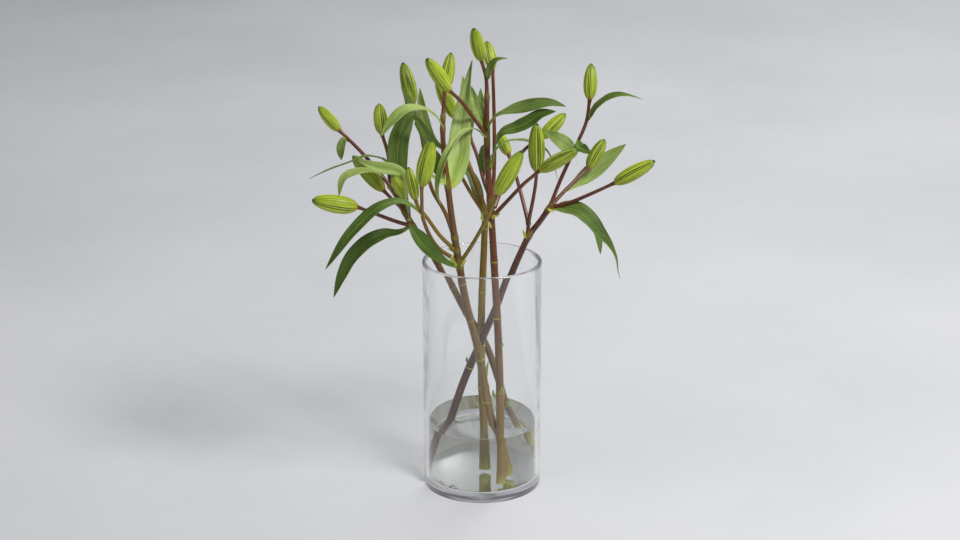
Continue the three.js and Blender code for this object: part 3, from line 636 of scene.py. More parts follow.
class Finish(Tree):
    """A material with one Principled shader."""

    def __init__(self, name, **constants):
        self.material = bpy.data.materials.new(name)
        self.material.use_nodes = True
        super().__init__(self.material.node_tree)
        self.shader = next(n for n in self.tree.nodes if n.type == "BSDF_PRINCIPLED")
        for key, value in constants.items():
            self.shader.inputs[key.replace("_", " ")].default_value = value

    def attribute(self, name, output=2):
        return self.add("ShaderNodeAttribute", (), output, attribute_name=name)

    def vector(self, name):
        return self.attribute(name, 1)

    def place(self):
        """Object coordinates."""
        return self.add("ShaderNodeTexCoord", (), 3)

    def noise(self, vector, scale, detail=2.0, roughness=0.5):
        """Noise texture. Its scale is one number, or one for each axis."""
        if isinstance(scale, tuple):
            vector = self.add("ShaderNodeVectorMath", [vector, scale], operation="MULTIPLY")
            scale = 1.0
        values = {"Vector": vector, "Scale": scale, "Detail": detail, "Roughness": roughness}
        return self.add("ShaderNodeTexNoise", values)

    def ease(self, value, low, high, start=0.0, end=1.0):
        """Smooth change from start to end while the value goes from low to high."""
        values = {"Value": value, "From Min": low, "From Max": high, "To Min": start, "To Max": end}
        return self.add("ShaderNodeMapRange", values, interpolation_type="SMOOTHSTEP")

    def mix(self, factor, first, second):
        first, second = (rgba(c) if isinstance(c, str) else c for c in (first, second))
        values = {0: factor, 6: first, 7: second}
        return self.add("ShaderNodeMix", values, 2, data_type="RGBA", clamp_factor=True)

    def coats(self, body, *coats):
        """The body colour under coats of (mask, strength, colour), laid on in order."""
        for mask, strength, colour in coats:
            body = self.mix(mask * strength, body, colour)
        return body

    def feed(self, **values):
        for key, value in values.items():
            self.tree.links.new(value.socket, self.shader.inputs[key.replace("_", " ")])

    def bump(self, height, strength, distance):
        values = {"Strength": strength, "Distance": distance, "Height": height}
        self.feed(Normal=self.add("ShaderNodeBump", values))


def bud_skin():
    """Waxy green petals: pale raised edges, dark seams that are partly painted shade in their grooves, fine
    long veins, a tinted base and a dark tip.
    """
    f = Finish("bud_skin", Specular_IOR_Level=0.35, Subsurface_Weight=0.1, Subsurface_Scale=0.003,
               Subsurface_Radius=(0.6, 1.0, 0.2))
    along = f.attribute("along")
    relief = f.attribute("relief")
    grain = f.vector("grain")
    veins = f.noise(grain, (17.6, 17.6, 1.28), 3.0, 0.6)
    cloud = f.noise(grain, (1.6, 1.6, 2.5), 3.0)
    body = f.coats(
        # The tone paints each bud's own colour and also the light and shade on it.
        f.mix(f.attribute("tone"), "#3c5605", "#9cb41c"),
        (f.ease(cloud, 0.35, 0.7), 0.5, "#b2c43c"),
        (f.ease(veins, 0.5, 0.62), 0.7, "#cdd552"),
        (f.ease(veins, 0.5, 0.38), 0.65, "#42600a"),
        (f.ease(relief, 0.2, 0.95), 0.65, "#d6da5c"),
        # Dark seams: partly their own colour, partly painted shade in the sunken grooves.
        (f.ease(relief, -0.1, -0.8), 0.95, "#2c4005"),
        (f.ease(along, 0.2, 0.0), 0.5, "#b5a93a"),
        (f.ease(along, 0.06, 0.0), 0.65, "#80552a"),
        (f.ease(along, 0.78, 0.98), 0.5, "#4a7414"),
        (f.ease(along, 0.955, 0.99), 0.85, "#26360a"),
    )
    f.feed(Base_Color=body, Roughness=f.ease(veins, 0.3, 0.7, 0.36, 0.5))
    f.bump(veins * 0.7 + relief * 0.3, 0.55, 0.0004)
    return f.material


def leaf_skin():
    """Dark leaf with long parallel veins, a pale midrib line, grey-green patches of bloom and painted
    sheen, and a paler underside.
    """
    f = Finish("leaf_skin", Specular_IOR_Level=0.28, Subsurface_Weight=0.05, Subsurface_Scale=0.002)
    along = f.attribute("along")
    shade = f.attribute("shade")
    side = f.function("ABSOLUTE", f.attribute("across"))
    grain = f.vector("grain")
    lines = f.noise(grain, (26, 1.1, 1), 3.0, 0.55)
    cloud = f.noise(grain, (1.4, 3.0, 1), 3.0)
    ribs = f.ease(f.function("COSINE", side * LEAF_RIBS), 0.55, 1.0) * f.ease(side, 0.95, 0.7)
    dark = f.mix(f.ease(cloud, 0.3, 0.7) * 0.8, "#283d0a", "#446614")
    # Grey-green patches: partly the leaf's waxy bloom, partly painted sheen.
    dark = f.mix(f.ease(cloud, 0.55, 0.75) * 0.2, dark, "#6a8048")
    pale = f.mix(f.ease(cloud, 0.3, 0.7), "#9dba54", "#c6d688")
    under = f.mix(shade * 0.5, f.mix(0.45, dark, pale), pale)
    body = f.coats(
        # The shade attribute paints each leaf's own paleness and also the light and shade on it.
        f.mix(f.attribute("upper"), under, f.mix(shade, dark, pale)),
        (f.ease(lines, 0.48, 0.62), 0.2, "#9fbc5c"),
        (f.ease(lines, 0.48, 0.34), 0.25, "#2c430e"),
        (ribs, 0.1, "#a9c468"),
        (f.ease(side, 0.06, 0.01), 0.4, "#8fb04c"),
        (f.ease(side, 0.965, 1.0), 0.4, "#8fae4c"),
        (f.ease(along, 0.12, 0.0), 0.8, "#b5c84e"),
        (f.ease(shade, 1.0, 1.5), 0.8, "#c9c650"),
        (f.ease(along, 0.965, 1.0), 0.5, "#6b6a2c"),
    )
    f.feed(Base_Color=body, Roughness=f.ease(cloud, 0.3, 0.7, 0.42, 0.56))
    f.bump(lines * 0.5 + ribs * 0.5 - f.ease(side, 0.05, 0.0) * 0.8, 0.45, 0.0005)
    return f.material


def stem_skin(stem):
    """Glossy bark in long streaks over green, fresher at the joints and at the marks of stripped leaves."""
    f = Finish(f"stem_skin_{stem.name}", Specular_IOR_Level=0.5)
    grain = f.vector("grain")
    streaks = f.noise(grain, (2.6, 2.6, 0.4), 4.0, 0.6)
    flecks = f.noise(grain, (9, 9, 2.2), 3.0, 0.6)
    red = f.mix(f.ease(streaks, 0.35, 0.7), "#481716", "#8e4228")
    body = f.coats(
        f.mix(f.ease(streaks + f.attribute("fresh") * 0.55, 0.5, 1.0), stem.bark, stem.fresh),
        (f.attribute("slender"), 0.75, red),
        (f.ease(flecks, 0.52, 0.7), 0.4, "#a08a4c"),
        (f.ease(flecks, 0.46, 0.34), 0.45, "#33180f"),
        (f.attribute("mark"), 1.0, "#98a136"),
    )
    f.feed(Base_Color=body, Roughness=f.ease(streaks, 0.3, 0.7, 0.27, 0.4))
    f.bump(streaks * 0.5 + flecks * 0.3, 0.5, 0.0004)
    return f.material


def scar_skin():
    """Pale yellow-green fibres where a leaf was stripped."""
    f = Finish("scar_skin", Specular_IOR_Level=0.5)
    fibres = f.noise(f.place(), (900, 900, 160), 3.0, 0.6)
    body = f.mix(f.ease(fibres, 0.35, 0.65), "#7a8a24", "#c2cb62")
    f.feed(Base_Color=body, Roughness=f.ease(fibres, 0.3, 0.7, 0.4, 0.6))
    f.bump(fibres, 0.6, 0.0005)
    return f.material


def speck_skin():
    """Dull brown grains."""
    f = Finish("speck_skin", Specular_IOR_Level=0.3)
    cloud = f.noise(f.place(), 400.0)
    body = f.mix(f.ease(cloud, 0.4, 0.6), "#3c3a2c", "#6c6646")
    f.feed(Base_Color=body, Roughness=f.ease(cloud, 0.3, 0.7, 0.5, 0.7))
    return f.material


def clear_glass():
    """Clear glass with faint waves, grey hoops in its thick base, and painted shade on both sides of the
    rim.
    """
    f = Finish("clear_glass", Transmission_Weight=1.0, IOR=1.48, Specular_IOR_Level=0.1)
    radius = VASE_RADIUS * MM
    height = VASE_HEIGHT * MM
    floor = FLOOR * MM
    place = f.place()
    waves = f.noise(place, (6, 6, 2.5))
    x, y, z = (f.add("ShaderNodeSeparateXYZ", [place], i) for i in range(3))
    reach = (x * x + y * y) ** 0.5
    aside = f.function("ABSOLUTE", x)
    hoops = f.ease(f.noise(f.xyz(reach * HOOPS, aside * HOOP_BREAKS, z * HOOPS), 1.0), 0.47, 0.6)
    base = f.mix(hoops * f.ease(reach, 0.6 * radius, 0.8 * radius), "#c4c3cc", "#4a4954")
    rim = f.ease(z, 0.98 * height, 0.992 * height)
    body = f.coats(
        f.mix(f.ease(z, 1.5 * floor, 0.9 * floor), "#feffff", base),
        # Painted shade: the rim darkens towards its left and right ends, like the dark crescents of glass
        # seen edge on.
        (rim, f.ease(aside, 0.8 * radius, 0.97 * radius), "#4c4d56"),
    )
    f.feed(Base_Color=body, Roughness=f.ease(waves, 0.3, 0.8, 0.0, 0.012))
    f.bump(waves, 0.06, 0.001)
    return f.material


def clear_water():
    """Clear water with a faint drift in its colour."""
    f = Finish("still_water", Transmission_Weight=1.0, IOR=1.333)
    drift = f.noise(f.place(), 22.0)
    body = f.mix(drift, "#fafbf5", "#f4f6ee")
    f.feed(Base_Color=body, Roughness=f.ease(drift, 0.2, 0.8, 0.0, 0.01))
    f.bump(drift, 0.1, 0.0006)
    return f.material


def painted_floor():
    """Pale matt paint in faint clouds."""
    f = Finish("pale_floor", Specular_IOR_Level=0.25)
    cloud = f.noise(f.place(), 1.3, 4.0, 0.55)
    fine = f.noise(f.place(), 60.0, 3.0)
    body = f.mix(f.ease(cloud, 0.3, 0.7), "#c3c5c9", "#cdced2")
    f.feed(Base_Color=body, Roughness=f.ease(fine, 0.3, 0.7, 0.5, 0.65))
    f.bump(fine, 0.05, 0.0005)
    return f.material


# ---------------------------------------------------------------- meshes and objects

def add_object(name, data):
    obj = bpy.data.objects.new(name, data)
    bpy.context.scene.collection.objects.link(obj)
    return obj


def set_values(mesh, **arrays):
    """Store each array, of numbers or of vectors, on the points of a mesh."""
    for key, values in arrays.items():
        values = np.asarray(values, np.float32)
        kind, field = (VECTOR, "vector") if values.ndim == 2 else ("FLOAT", "value")
        mesh.attributes.new(key, kind, "POINT").data.foreach_set(field, values.ravel())


def read_values(mesh, name):
    values = np.zeros(len(mesh.vertices), np.float32)
    mesh.attributes[name].data.foreach_get("value", values)
    return values


def new_mesh(name, points, edges=(), faces=(), **arrays):
    mesh = bpy.data.meshes.new(name)
    mesh.from_pydata(points.tolist(), edges, faces)
    set_values(mesh, **arrays)
    return mesh


def mesh_piece(name, points, faces, material, **arrays):
    mesh = new_mesh(name, points, faces=faces, **arrays)
    mesh.materials.append(material)
    mesh.shade_smooth()
    return add_object(name, mesh)


# ---------------------------------------------------------------- geometry node trees

class Maker(Tree):
    """A Geometry Nodes tree that turns a guide mesh into a finished piece."""

    def __init__(self, name, **inputs):
        super().__init__(bpy.data.node_groups.new(name, "GeometryNodeTree"))
        face = self.tree.interface
        face.new_socket("Geometry", in_out="INPUT", socket_type="NodeSocketGeometry")
        face.new_socket("Geometry", in_out="OUTPUT", socket_type="NodeSocketGeometry")
        kinds = {int: "NodeSocketInt", float: "NodeSocketFloat"}
        self.defaults = {**inputs, "Material": None}
        self.ids = {}
        for key, value in self.defaults.items():
            kind = kinds.get(type(value), "NodeSocketMaterial")
            self.ids[key] = face.new_socket(key, in_out="INPUT", socket_type=kind).identifier
        self.source = self.tree.nodes.new("NodeGroupInput")

    def given(self, name="Geometry"):
        return Value(self, self.source.outputs[name])

    def read(self, name, kind="FLOAT"):
        return self.add("GeometryNodeInputNamedAttribute", {"Name": name}, data_type=kind)

    def store(self, geometry, name, value, kind="FLOAT", domain="POINT", where=True):
        values = {"Geometry": geometry, "Selection": where, "Name": name, "Value": value}
        return self.add("GeometryNodeStoreNamedAttribute", values, data_type=kind, domain=domain)

    def random(self, low, high):
        """A number of its own for each point."""
        values = {2: low, 3: high, "Seed": self.given("Seed")}
        return self.add("FunctionNodeRandomValue", values, 1, data_type="FLOAT")

    def ring(self):
        values = {"Resolution": self.given("Sides"), "Radius": 1.0}
        return self.add("GeometryNodeCurvePrimitiveCircle", values, mode="RADIUS")

    def sweep(self, line, ring, scale):
        """A skin round a line, with closed ends."""
        values = {"Curve": line, "Profile Curve": ring, "Scale": scale, "Fill Caps": True}
        return self.add("GeometryNodeCurveToMesh", values)

    def scatter(self, instance, **values):
        """The instance on each guide point."""
        values = {"Points": self.given(), "Instance": instance, **values}
        return self.add("GeometryNodeInstanceOnPoints", values)

    def smooth(self, geometry):
        return self.add("GeometryNodeSetShadeSmooth", [geometry])

    def finish(self, geometry):
        real = self.add("GeometryNodeRealizeInstances", [geometry])
        values = {"Geometry": real, "Material": self.given("Material")}
        self.add("NodeGroupOutput", [self.add("GeometryNodeSetMaterial", values)])
        return self

    def run(self, name, guide, material, **changes):
        """The plain mesh object that the tree makes from a guide mesh."""
        piece = add_object(name, guide)
        modifier = piece.modifiers.new(name, "NODES")
        modifier.node_group = self.tree
        for key, value in {**self.defaults, **changes, "Material": material}.items():
            modifier[self.ids[key]] = value
        graph = bpy.context.evaluated_depsgraph_get()
        made = bpy.data.meshes.new_from_object(piece.evaluated_get(graph))
        piece.modifiers.clear()
        piece.data = made
        made.name = name
        bpy.data.meshes.remove(guide)
        return piece


def leaf_maker():
    """Blade over a guide line: a grid of points, folded along the midrib and waved at the edges, which is
    raised to a closed body with an upper and an under side."""
    m = Maker("leaf_blade", Rows=BLADE_ROWS, Columns=BLADE_COLUMNS, Thickness=LEAF_THICKNESS * MM,
              Fold=LEAF_FOLD, Clasp=CLASP, Width=LEAF_WIDTH * MM, Wave=WAVE, Rate=WAVE_RATE,
              Shift=WAVE_SHIFT, Ripple=RIPPLE)
    grid = m.add("GeometryNodeMeshGrid", [1.0, 1.0, m.given("Rows"), m.given("Columns")])
    index = m.add("GeometryNodeInputIndex")
    row = m.function("FLOOR", (index + 0.5) / m.given("Columns"))
    column = index - row * m.given("Columns")
    along = row / (m.given("Rows") - 1)
    across = 1 - column * 2 / (m.given("Columns") - 1)
    side = m.function("ABSOLUTE", across)

    def at_row(value, kind=VECTOR):
        values = {"Geometry": m.given(), "Value": value, "Index": row}
        return m.add("GeometryNodeSampleIndex", values, data_type=kind, domain="POINT")

    centre = at_row(m.add("GeometryNodeInputPosition"))
    sideways = at_row(m.read("sideways", VECTOR))
    upward = at_row(m.read("upward", VECTOR))
    half = at_row(m.read("half"), "FLOAT")
    clasp = 1 + m.given("Clasp") * m.function("EXPONENT", along * -CLASP_FADE)
    fold = (side * (1 + FOLD_EASE) - side * side * FOLD_EASE) * half * m.given("Fold") * clasp
    fade = m.function("SINE", along * math.pi)
    lag = m.function("LESS_THAN", across, 0.0) * m.given("Shift")
    wave = m.function("SINE", along * m.given("Rate") + lag) * m.given("Wave")
    ripple = m.function("SINE", along * RIPPLE_RATE + lag * RIPPLE_SHIFT) * m.given("Ripple")
    lift = (wave + ripple) * m.given("Width") * side * side * fade + fold
    place = centre + sideways * (across * half) + upward * (lift - m.given("Thickness") / 2)
    blade = m.add("GeometryNodeSetPosition", {"Geometry": grid, "Position": place})
    blade = m.store(blade, "along", along)
    blade = m.store(blade, "across", across)
    edge = 1 - side ** THIN_POWER * EDGE_THINNING
    tip = 1 - along ** THIN_POWER * TIP_THINNING
    values = {"Mesh": blade, "Offset Scale": m.given("Thickness") * edge * tip, "Individual": False}
    raised = m.add("GeometryNodeExtrudeMesh", values, mode="FACES")
    top = Value(m, raised.socket.node.outputs["Top"])
    raised = m.store(raised, "upper", 1.0, domain="FACE", where=top)
    under = m.add("GeometryNodeFlipFaces", [blade])
    whole = m.add("GeometryNodeJoinGeometry")
    for part in (raised, under):
        m.tree.links.new(part.socket, whole.socket.node.inputs[0])
    closed = m.add("GeometryNodeMergeByDistance", {"Geometry": whole, "Distance": MERGE})
    return m.finish(m.smooth(closed))


def stalk_maker():
    """Round skin over guide lines, as thick as each point of a line says, with closed ends."""
    m = Maker("stalk_skin", Sides=STEM_SIDES)
    turn = m.add("GeometryNodeSplineParameter") * (2 * math.pi)
    around = m.xyz(m.function("COSINE", turn), m.function("SINE", turn), 0.0)
    ring = m.store(m.ring(), "ring", around, VECTOR)
    line = m.add("GeometryNodeMeshToCurve", [m.given()])
    skin = m.sweep(line, ring, m.read("thickness"))
    grain = m.read("ring", VECTOR) + m.xyz(0.0, 0.0, m.read("distance"))
    return m.finish(m.smooth(m.store(skin, "grain", grain, VECTOR)))


def scar_maker():
    """Crescent ridges where leaves were stripped: one half ring on each guide point, turned to its side."""
    m = Maker("leaf_scars", Sweep=SCAR_SWEEP, Girth=SCAR_GIRTH * MM, Steps=SCAR_STEPS, Sides=SCAR_SIDES,
              Seed=SEED)
    sweep = m.given("Sweep")
    span = {"Radius": 1.0, "Start Angle": sweep / -2, "Sweep Angle": sweep}
    arc = m.add("GeometryNodeCurveArc", {"Resolution": m.given("Steps"), **span}, mode="RADIUS")
    swell = m.function("SINE", m.add("GeometryNodeSplineParameter") * math.pi)
    thick = (swell * (1 - SCAR_END) + SCAR_END) * m.given("Girth") / (SCAR_STEM * MM)
    ridge = m.sweep(arc, m.ring(), thick)
    turned = m.add("FunctionNodeAxesToRotation", [m.read("axis", VECTOR), m.read("outward", VECTOR)],
                   primary_axis="Z", secondary_axis="X")
    size = m.read("thickness") * m.random(*SCAR_SIZES)
    return m.finish(m.smooth(m.scatter(ridge, Rotation=turned, Scale=m.xyz(size, size, size))))


def speck_maker():
    """Small flat grains of mixed sizes on guide points."""
    m = Maker("specks", Size=SPECK_SIZE * MM, Seed=SEED)
    grain = m.add("GeometryNodeMeshIcoSphere", {"Radius": 1.0, "Subdivisions": SPECK_FINENESS})
    size = m.random(*SPECK_SIZES) * m.given("Size")
    return m.finish(m.scatter(grain, Scale=m.xyz(*[size * share for share in SPECK_SHAPE])))


# ---------------------------------------------------------------- guide meshes

def guide_lines(name, *chains):
    """A mesh with one chain of edges for each line. A chain holds its line and the values on its points."""
    edges = []
    start = 0
    for chain in chains:
        end = start + len(chain["line"])
        edges += [(i, i + 1) for i in range(start, end - 1)]
        start = end
    joined = {key: np.concatenate([chain[key] for chain in chains]) for key in chains[0]}
    return new_mesh(name, joined.pop("line"), edges, **joined)


def leaf_guide(leaf, rows):
    """The midrib of a leaf, with the directions of its blade and its half width."""
    line, directions = smooth_path(leaf.path, rows)
    along = np.linspace(0, 1, rows)
    face = read_line(along, np.linspace(0, 1, len(leaf.face)), leaf.face)
    sideways = unit(np.cross(directions, face))
    upward = unit(np.cross(sideways, directions))
    power = math.log(PROFILE_BELLY) / math.log(leaf.belly)
    beyond = np.clip((along - leaf.neck) / (1 - leaf.neck), 0, 1)
    half = leaf.width / 2 * MM * read_profile(LEAF_PROFILE, beyond ** power)
    return guide_lines("leaf_guide", dict(line=line, sideways=sideways, upward=upward, half=half))


def stem_radius(stem, place):
    """Radius of a stem at a place, 0 to 1, along it: nearly even in the lower part, then thinner."""
    return stem.foot + (stem.top - stem.foot) * place ** STEM_TAPER


def axis_chain(stem, axis):
    """Guide line of a stem's main axis, swollen where stalks and leaves stand or stood."""
    low, high = stem.green
    place = np.linspace(0, 1, STEM_STEPS)
    along = place * np.linalg.norm(np.diff(axis, axis=0), axis=1).sum() / MM
    plain = stem_radius(stem, place)
    thickness = plain
    mark = np.zeros(STEM_STEPS)
    roots = [bud.stalk[0] for bud in stem.buds] + [path[0] for path in stem.leafy_stalks]
    for root in roots + [leaf.path[0] for leaf in stem.leaves]:
        reach = np.linalg.norm(axis - np.array(root) * MM, axis=1)
        if reach.min() < NODE_REACH * MM:
            away = along - along[reach.argmin()]
            thickness = np.maximum(thickness, plain + bump_at(away, *NODE_SWELL))
            mark = np.maximum(mark, bump_at(away, *NODE_MARK))
    for height, _ in stem.scars:
        away = along - along[row_at_height(axis, height)]
        thickness = thickness + bump_at(away, *SCAR_SWELL)
        mark = np.maximum(mark, bump_at(away, *SCAR_MARK))
    rise = (axis[:, 2] - axis[0, 2]) / MM
    thickness = thickness + bump_at(rise, *CUT_SWELL)
    mark = np.maximum(mark, bump_at(rise, *CUT_MARK))
    slender = np.maximum(place - SLENDER_FROM, 0) * SLENDER_RATE * (1 - high)
    fresh = low + (high - low) * np.clip(axis[:, 2] / (VASE_HEIGHT * MM), 0, 1)
    return dict(line=axis, thickness=thickness * MM, mark=mark, distance=along / GRAIN_UNIT,
                slender=slender, fresh=fresh)


def stalk_chain(path, green):
    """Guide line of a stalk, flared at its root and at its neck."""
    line, _ = smooth_path(path, STALK_STEPS)
    away = np.linalg.norm(line - line[0], axis=1) / MM
    flare = bump_at(away, *ROOT_SWELL) + bump_at(away[-1] - away, *NECK_SWELL)
    thickness = np.linspace(STALK_ROOT, STALK_NECK, STALK_STEPS) + flare
    return dict(line=line, thickness=thickness * MM, mark=bump_at(away, *ROOT_MARK),
                distance=away / GRAIN_UNIT, slender=np.full(STALK_STEPS, 1 - green),
                fresh=np.full(STALK_STEPS, green))


def stem_guide(stem, axis):
    """Guide lines of a whole stem: its axis, the stalks of its buds and its leafy stalks."""
    _, top_green = stem.green
    stalks = [stalk_chain(bud.stalk, bud.green) for bud in stem.buds]
    stalks += [stalk_chain(path, top_green) for path in stem.leafy_stalks]
    return guide_lines("stem_guide", axis_chain(stem, axis), *stalks)


def scar_guide(stem, axis, directions):
    """Points on a stem's axis where leaves were stripped, with its radius and each leaf's side there."""
    swell, _ = SCAR_SWELL
    heights, sides = np.array(stem.scars, float).T
    rows = np.array([row_at_height(axis, height) for height in heights])
    turn = np.radians(sides)
    outward = np.stack([np.cos(turn), np.sin(turn), np.zeros(len(turn))], axis=1)
    thickness = (stem_radius(stem, rows / (STEM_STEPS - 1)) + swell) * MM
    return new_mesh("scar_guide", axis[rows], outward=outward, axis=directions[rows], thickness=thickness)


def root_scale(stalk):
    """Small pale scale that hugs the underside of a stalk at its root."""
    line, directions = smooth_path(stalk, STALK_STEPS)
    length = np.linalg.norm(line - line[0], axis=1) / MM
    path = []
    for reach, lift in SCALE_LINE:
        row = np.abs(length - reach).argmin()
        down = unit(np.cross(np.cross(directions[row], SCALE_SIDE), directions[row]))
        path.append(line[row] / MM + down * (STALK_ROOT + lift))
    return Leaf(path, width=SCALE_WIDTH, face=[down], shade=SCALE_SHADE, belly=SCALE_BELLY)


def speck_guide():
    """Places of the specks: on the floor of the vase, near its wall, round two sides of it."""
    chance = np.random.default_rng(SEED)
    turn = np.radians(chance.choice(SPECK_SIDES, SPECKS) + chance.normal(0, SPECK_SWAY, SPECKS))
    reach = chance.uniform(*SPECK_REACH, SPECKS) * (VASE_RADIUS - WALL)
    height = np.full(SPECKS, FLOOR + SPECK_LIFT)
    points = np.stack([np.cos(turn) * reach, np.sin(turn) * reach, height], axis=1)
    return new_mesh("speck_guide", points * MM)


# ---------------------------------------------------------------- buds, vase and water

def ring_faces(rings, around):
    """Faces over closed rings, between a first and a last single point."""
    faces = []
    last = 1 + rings * around
    for side in range(around):
        other = (side + 1) % around
        faces.append((0, 1 + other, 1 + side))
        faces.append((last, last - around + side, last - around + other))
        for ring in range(rings - 1):
            low = 1 + ring * around
            high = low + around
            faces.append((low + side, low + other, high + other, high + side))
    return faces


def bud_piece(name, bud, material):
    """Closed bud of three broad petals, with raised edges at sunken seams and three points at its tip."""
    base = np.array(bud.stalk[-1], float) * MM
    tip = np.array(bud.tip, float) * MM
    length = np.linalg.norm(tip - base)
    up = (tip - base) / length
    across = unit(np.array([0, -1, 0]) + up * up[1])
    sideways = np.cross(up, across)
    rows = np.linspace(0, 1, BUD_ALONG) ** BUD_SPACING
    turns = np.linspace(0, 2 * math.pi, BUD_AROUND, endpoint=False)
    along, angle = np.meshgrid(rows, turns, indexing="ij")

    local = np.degrees(angle) - bud.roll
    petal = (local + PETAL_SIDE) % (2 * PETAL_SIDE) - PETAL_SIDE
    to_seam = PETAL_SIDE - np.abs(petal)
    bumps = {key: bump_at(to_seam, 1, form["spread"], form["turn"]) for key, form in BUD_RIDGES.items()}
    bumps["lip"] *= np.where(petal > 0, 1, FAR_LIP)
    shown = np.sin(math.pi * np.clip(along, RIDGE_START, 1) ** RIDGE_SKEW) ** RIDGE_FADE
    relief = sum(BUD_RIDGES[key]["height"] * bump for key, bump in bumps.items()) * shown
    # Paint of the ridges: pale edges and ribs, and dark seams that are partly painted shade in the grooves.
    paint = sum(BUD_RIDGES[key]["paint"] * bump for key, bump in bumps.items())

    trefoil = np.cos(np.radians(PETALS * local))
    closing = np.clip((along - TIP_FROM) / (1 - TIP_FROM), 0, 1) ** TIP_POWER
    split = TIP_SPLIT * closing * (1 - np.cos(np.radians(to_seam * PETALS / 2)))
    split -= TIP_NOTCH * closing * bumps["rib"]
    radius = bud.width / 2 * MM * read_profile(BUD_PROFILE, along)
    radius *= 1 + PETAL_LOBE * np.sin(math.pi * along) * trefoil + relief
    radius *= np.sqrt(np.clip(TIP_FULL - closing ** 2, TIP_LEAST, 1))
    radius *= 1 - TIP_NARROW * closing + TIP_FLARE * split
    rise = (along + TIP_RISE * closing * trefoil) * length
    outward = np.cos(angle)[..., None] * across + np.sin(angle)[..., None] * sideways
    points = base + rise[..., None] * up + radius[..., None] * outward
    first, last = (base + share * length * up for share in BUD_POLES)
    points = np.vstack([first, points.reshape(-1, 3), last])

    def ends(grid, first, last):
        return np.concatenate([[first], grid.ravel(), [last]])

    place = ends(along, 0, 1)
    grain = np.stack([ends(np.cos(angle), 0, 0), ends(np.sin(angle), 0, 0), place], axis=1)
    return mesh_piece(name, points, ring_faces(BUD_ALONG, BUD_AROUND), material, along=place,
                      relief=ends(paint, 0, -1), tone=np.full(len(points), bud.tone),
                      grain=grain + TONE_STEP * bud.tone)


def rounded(corners):
    """A profile of (radius, height) with an arc of the given size at each corner."""
    line = []
    for i, (corner, size) in enumerate(corners):
        here = np.array(corner, float)
        if size == 0:
            line.append(here)
            continue
        before = unit(np.array(corners[i - 1][0], float) - here)
        after = unit(np.array(corners[i + 1][0], float) - here)
        centre = here + (before + after) * size
        for turn in np.linspace(0, math.pi / 2, ARC_STEPS):
            line.append(centre - after * size * math.cos(turn) - before * size * math.sin(turn))
    return np.array(line)


def turned_piece(name, profile, material):
    """A profile turned round the vertical axis, from the axis back to the axis."""
    turn = np.linspace(0, 2 * math.pi, LATHE_SIDES, endpoint=False)
    circle = np.stack([np.cos(turn), np.sin(turn), np.ones(LATHE_SIDES)], axis=1)
    rings = [circle * (radius, radius, height) for radius, height in profile[1:-1]]
    points = np.vstack([(0, 0, profile[0][1]), *rings, (0, 0, profile[-1][1])]) * MM
    return mesh_piece(name, points, ring_faces(len(rings), LATHE_SIDES), material)


def vase_profile():
    """Half section of the vase, from the middle of its foot over the rim to the middle of its floor."""
    inner = VASE_RADIUS - WALL
    return rounded([
        ((0, 0), 0), ((VASE_RADIUS * HUB, 0), 0), ((VASE_RADIUS, 0), FOOT_ROUND),
        ((VASE_RADIUS, VASE_HEIGHT), RIM_ROUND), ((inner, VASE_HEIGHT), RIM_ROUND),
        ((inner, FLOOR), FLOOR_ROUND), ((inner * HUB, FLOOR), 0), ((0, FLOOR), 0),
    ])


def water_profile():
    """Half section of the water, from below to the surface, which climbs at the glass."""
    inner = VASE_RADIUS - WALL - WATER_GAP
    low = FLOOR + WATER_GAP
    line = rounded([
        ((0, low), 0), ((inner * HUB, low), 0), ((inner, low), FLOOR_ROUND), ((inner, WATER_LEVEL), 0),
    ])
    reach = np.array([*CLIMB_PLACES, inner])
    surface = WATER_LEVEL + CLIMB_HEIGHT * np.exp(-reach / CLIMB_SPREAD)
    return np.vstack([line[:-1], np.stack([inner - reach, surface], axis=1)])


# ---------------------------------------------------------------- camera, lights, floor

def aim(obj, target):
    """Turn an object so that it looks at the target."""
    x, y, z = np.array(target) - np.array(obj.location)
    obj.rotation_euler = (math.atan2(math.hypot(x, y), -z), 0, math.atan2(-x, y))


def add_camera():
    data = bpy.data.cameras.new("camera")
    data.sensor_width = CAMERA_SENSOR
    data.lens = CAMERA_LENS
    data.clip_end = CAMERA_REACH
    camera = add_object("camera", data)
    camera.location = CAMERA_PLACE
    camera.rotation_euler = (math.radians(CAMERA_TILT), 0, 0)
    bpy.context.scene.camera = camera


def add_light(name, place, target, size, power, colour, mirrored):
    """Soft light that glass doesn't show. Only a mirrored one shows in reflections."""
    data = bpy.data.lights.new(name, "AREA")
    data.shape = "RECTANGLE"
    data.size, data.size_y = size
    data.energy = power
    data.color = colour
    light = add_object(name, data)
    light.visible_glossy = mirrored
    light.visible_transmission = False
    light.location = place
    aim(light, target)


def add_stage():
    """Floor that bends up into a wall far behind the vase."""
    line = [(STAGE_FRONT, 0)]
    for turn in np.linspace(0, math.pi / 2, STAGE_STEPS):
        line.append((STAGE_BACK - STAGE_BEND * (1 - math.sin(turn)), STAGE_BEND * (1 - math.cos(turn))))
    line.append((STAGE_BACK, STAGE_TOP))
    points = np.array([(x, y, z) for y, z in line for x in (-STAGE_SIDE, STAGE_SIDE)])
    faces = [(2 * i, 2 * i + 1, 2 * i + 3, 2 * i + 2) for i in range(len(line) - 1)]
    mesh_piece("floor", points, faces, painted_floor())


def add_world():
    world = bpy.data.worlds.new("studio")
    world.use_nodes = True
    background = world.node_tree.nodes["Background"]
    background.inputs["Color"].default_value = (WORLD_GREY, WORLD_GREY, WORLD_GREY, 1)
    background.inputs["Strength"].default_value = WORLD_STRENGTH
    bpy.context.scene.world = world


# ---------------------------------------------------------------- the object

def keep(piece, slot, *nodes):
    """Attach a piece to the root body and hide the solids whose look it takes over. Its material slot is
    not used.
    """
    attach(piece, "root")
    if nodes:
        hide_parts(*nodes)


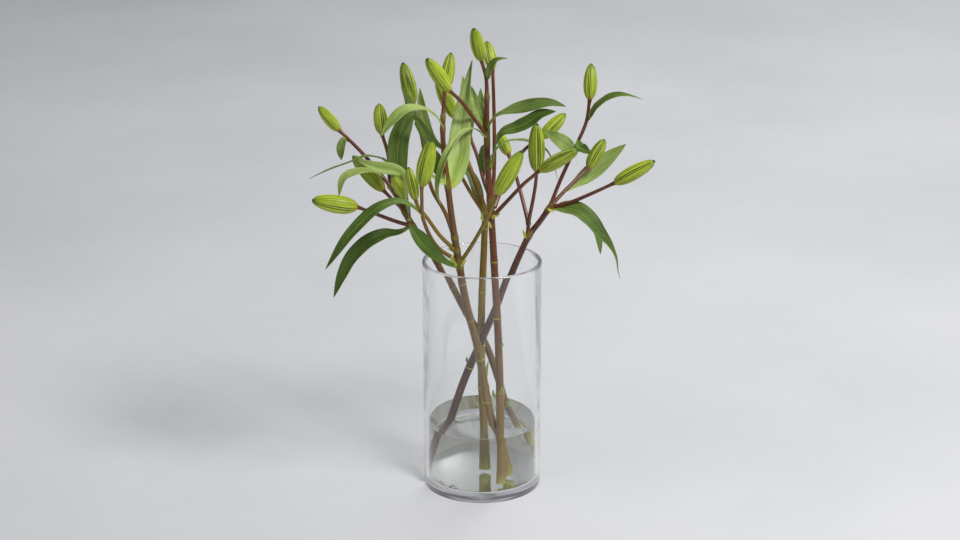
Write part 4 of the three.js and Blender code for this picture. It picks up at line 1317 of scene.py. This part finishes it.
def blade_piece(name, leaf, number, make_leaf, material, rows=BLADE_ROWS, columns=BLADE_COLUMNS):
    """A leaf with its paleness from base to tip and the places of its veins, shifted by its number."""
    guide = leaf_guide(leaf, rows)
    piece = make_leaf.run(name, guide, material, Width=leaf.width * MM, Rows=rows, Columns=columns)
    along = read_values(piece.data, "along")
    across = read_values(piece.data, "across")
    start, end = leaf.shade
    shade = start + (end - start) * np.clip(along * SHADE_RATE, 0, 1)
    grain = np.stack([across + VEIN_STEP * number, along, np.zeros(len(along))], axis=1)
    set_values(piece.data, shade=shade, grain=grain)
    return piece


def build_object():
    """Vase, water, the stems with all that grows on them, and the specks."""
    make_leaf = leaf_maker()
    make_stalk = stalk_maker()
    make_scar = scar_maker()
    bud_finish = bud_skin()
    leaf_finish = leaf_skin()
    scar_finish = scar_skin()
    vase = turned_piece("glass_vase", vase_profile(), clear_glass())
    water = turned_piece("still_water", water_profile(), clear_water())
    for piece in (vase, water):
        piece.visible_shadow = False
        piece.visible_diffuse = False
    keep(vase, "glass", "vase")
    keep(water, "water", "water")
    for stem in STEMS:
        name = stem.name
        axis, directions = smooth_path(stem.path, STEM_STEPS)
        piece = make_stalk.run(f"{name}_stem", stem_guide(stem, axis), stem_skin(stem))
        keep(piece, "stem", f"stem_{name}")
        keep(make_scar.run(f"{name}_scars", scar_guide(stem, axis, directions), scar_finish), "stem")
        for i, bud in enumerate(stem.buds, 1):
            keep(bud_piece(f"{name}_bud_{i}", bud, bud_finish), "bud", f"bud_{name}_{i}")
        for i, leaf in enumerate(stem.leaves, 1):
            piece = blade_piece(f"{name}_leaf_{i}", leaf, i, make_leaf, leaf_finish)
            keep(piece, "leaf", f"leaf_{name}_{i}")
        for i, leaf in enumerate([root_scale(bud.stalk) for bud in stem.buds] + stem.sprouts, 1):
            piece = blade_piece(f"{name}_sprout_{i}", leaf, i, make_leaf, leaf_finish, SPROUT_ROWS,
                                SPROUT_COLUMNS)
            keep(piece, "leaf")
    keep(speck_maker().run("specks", speck_guide(), speck_skin()), "stem")


add_camera()
add_world()
add_stage()
for light in LIGHTS:
    add_light(**light)
build_object()

bpy.context.scene.view_settings.view_transform = "Standard"
for limit in ("max_bounces", "glossy_bounces", "transmission_bounces"):
    setattr(bpy.context.scene.cycles, limit, GLASS_BOUNCES)
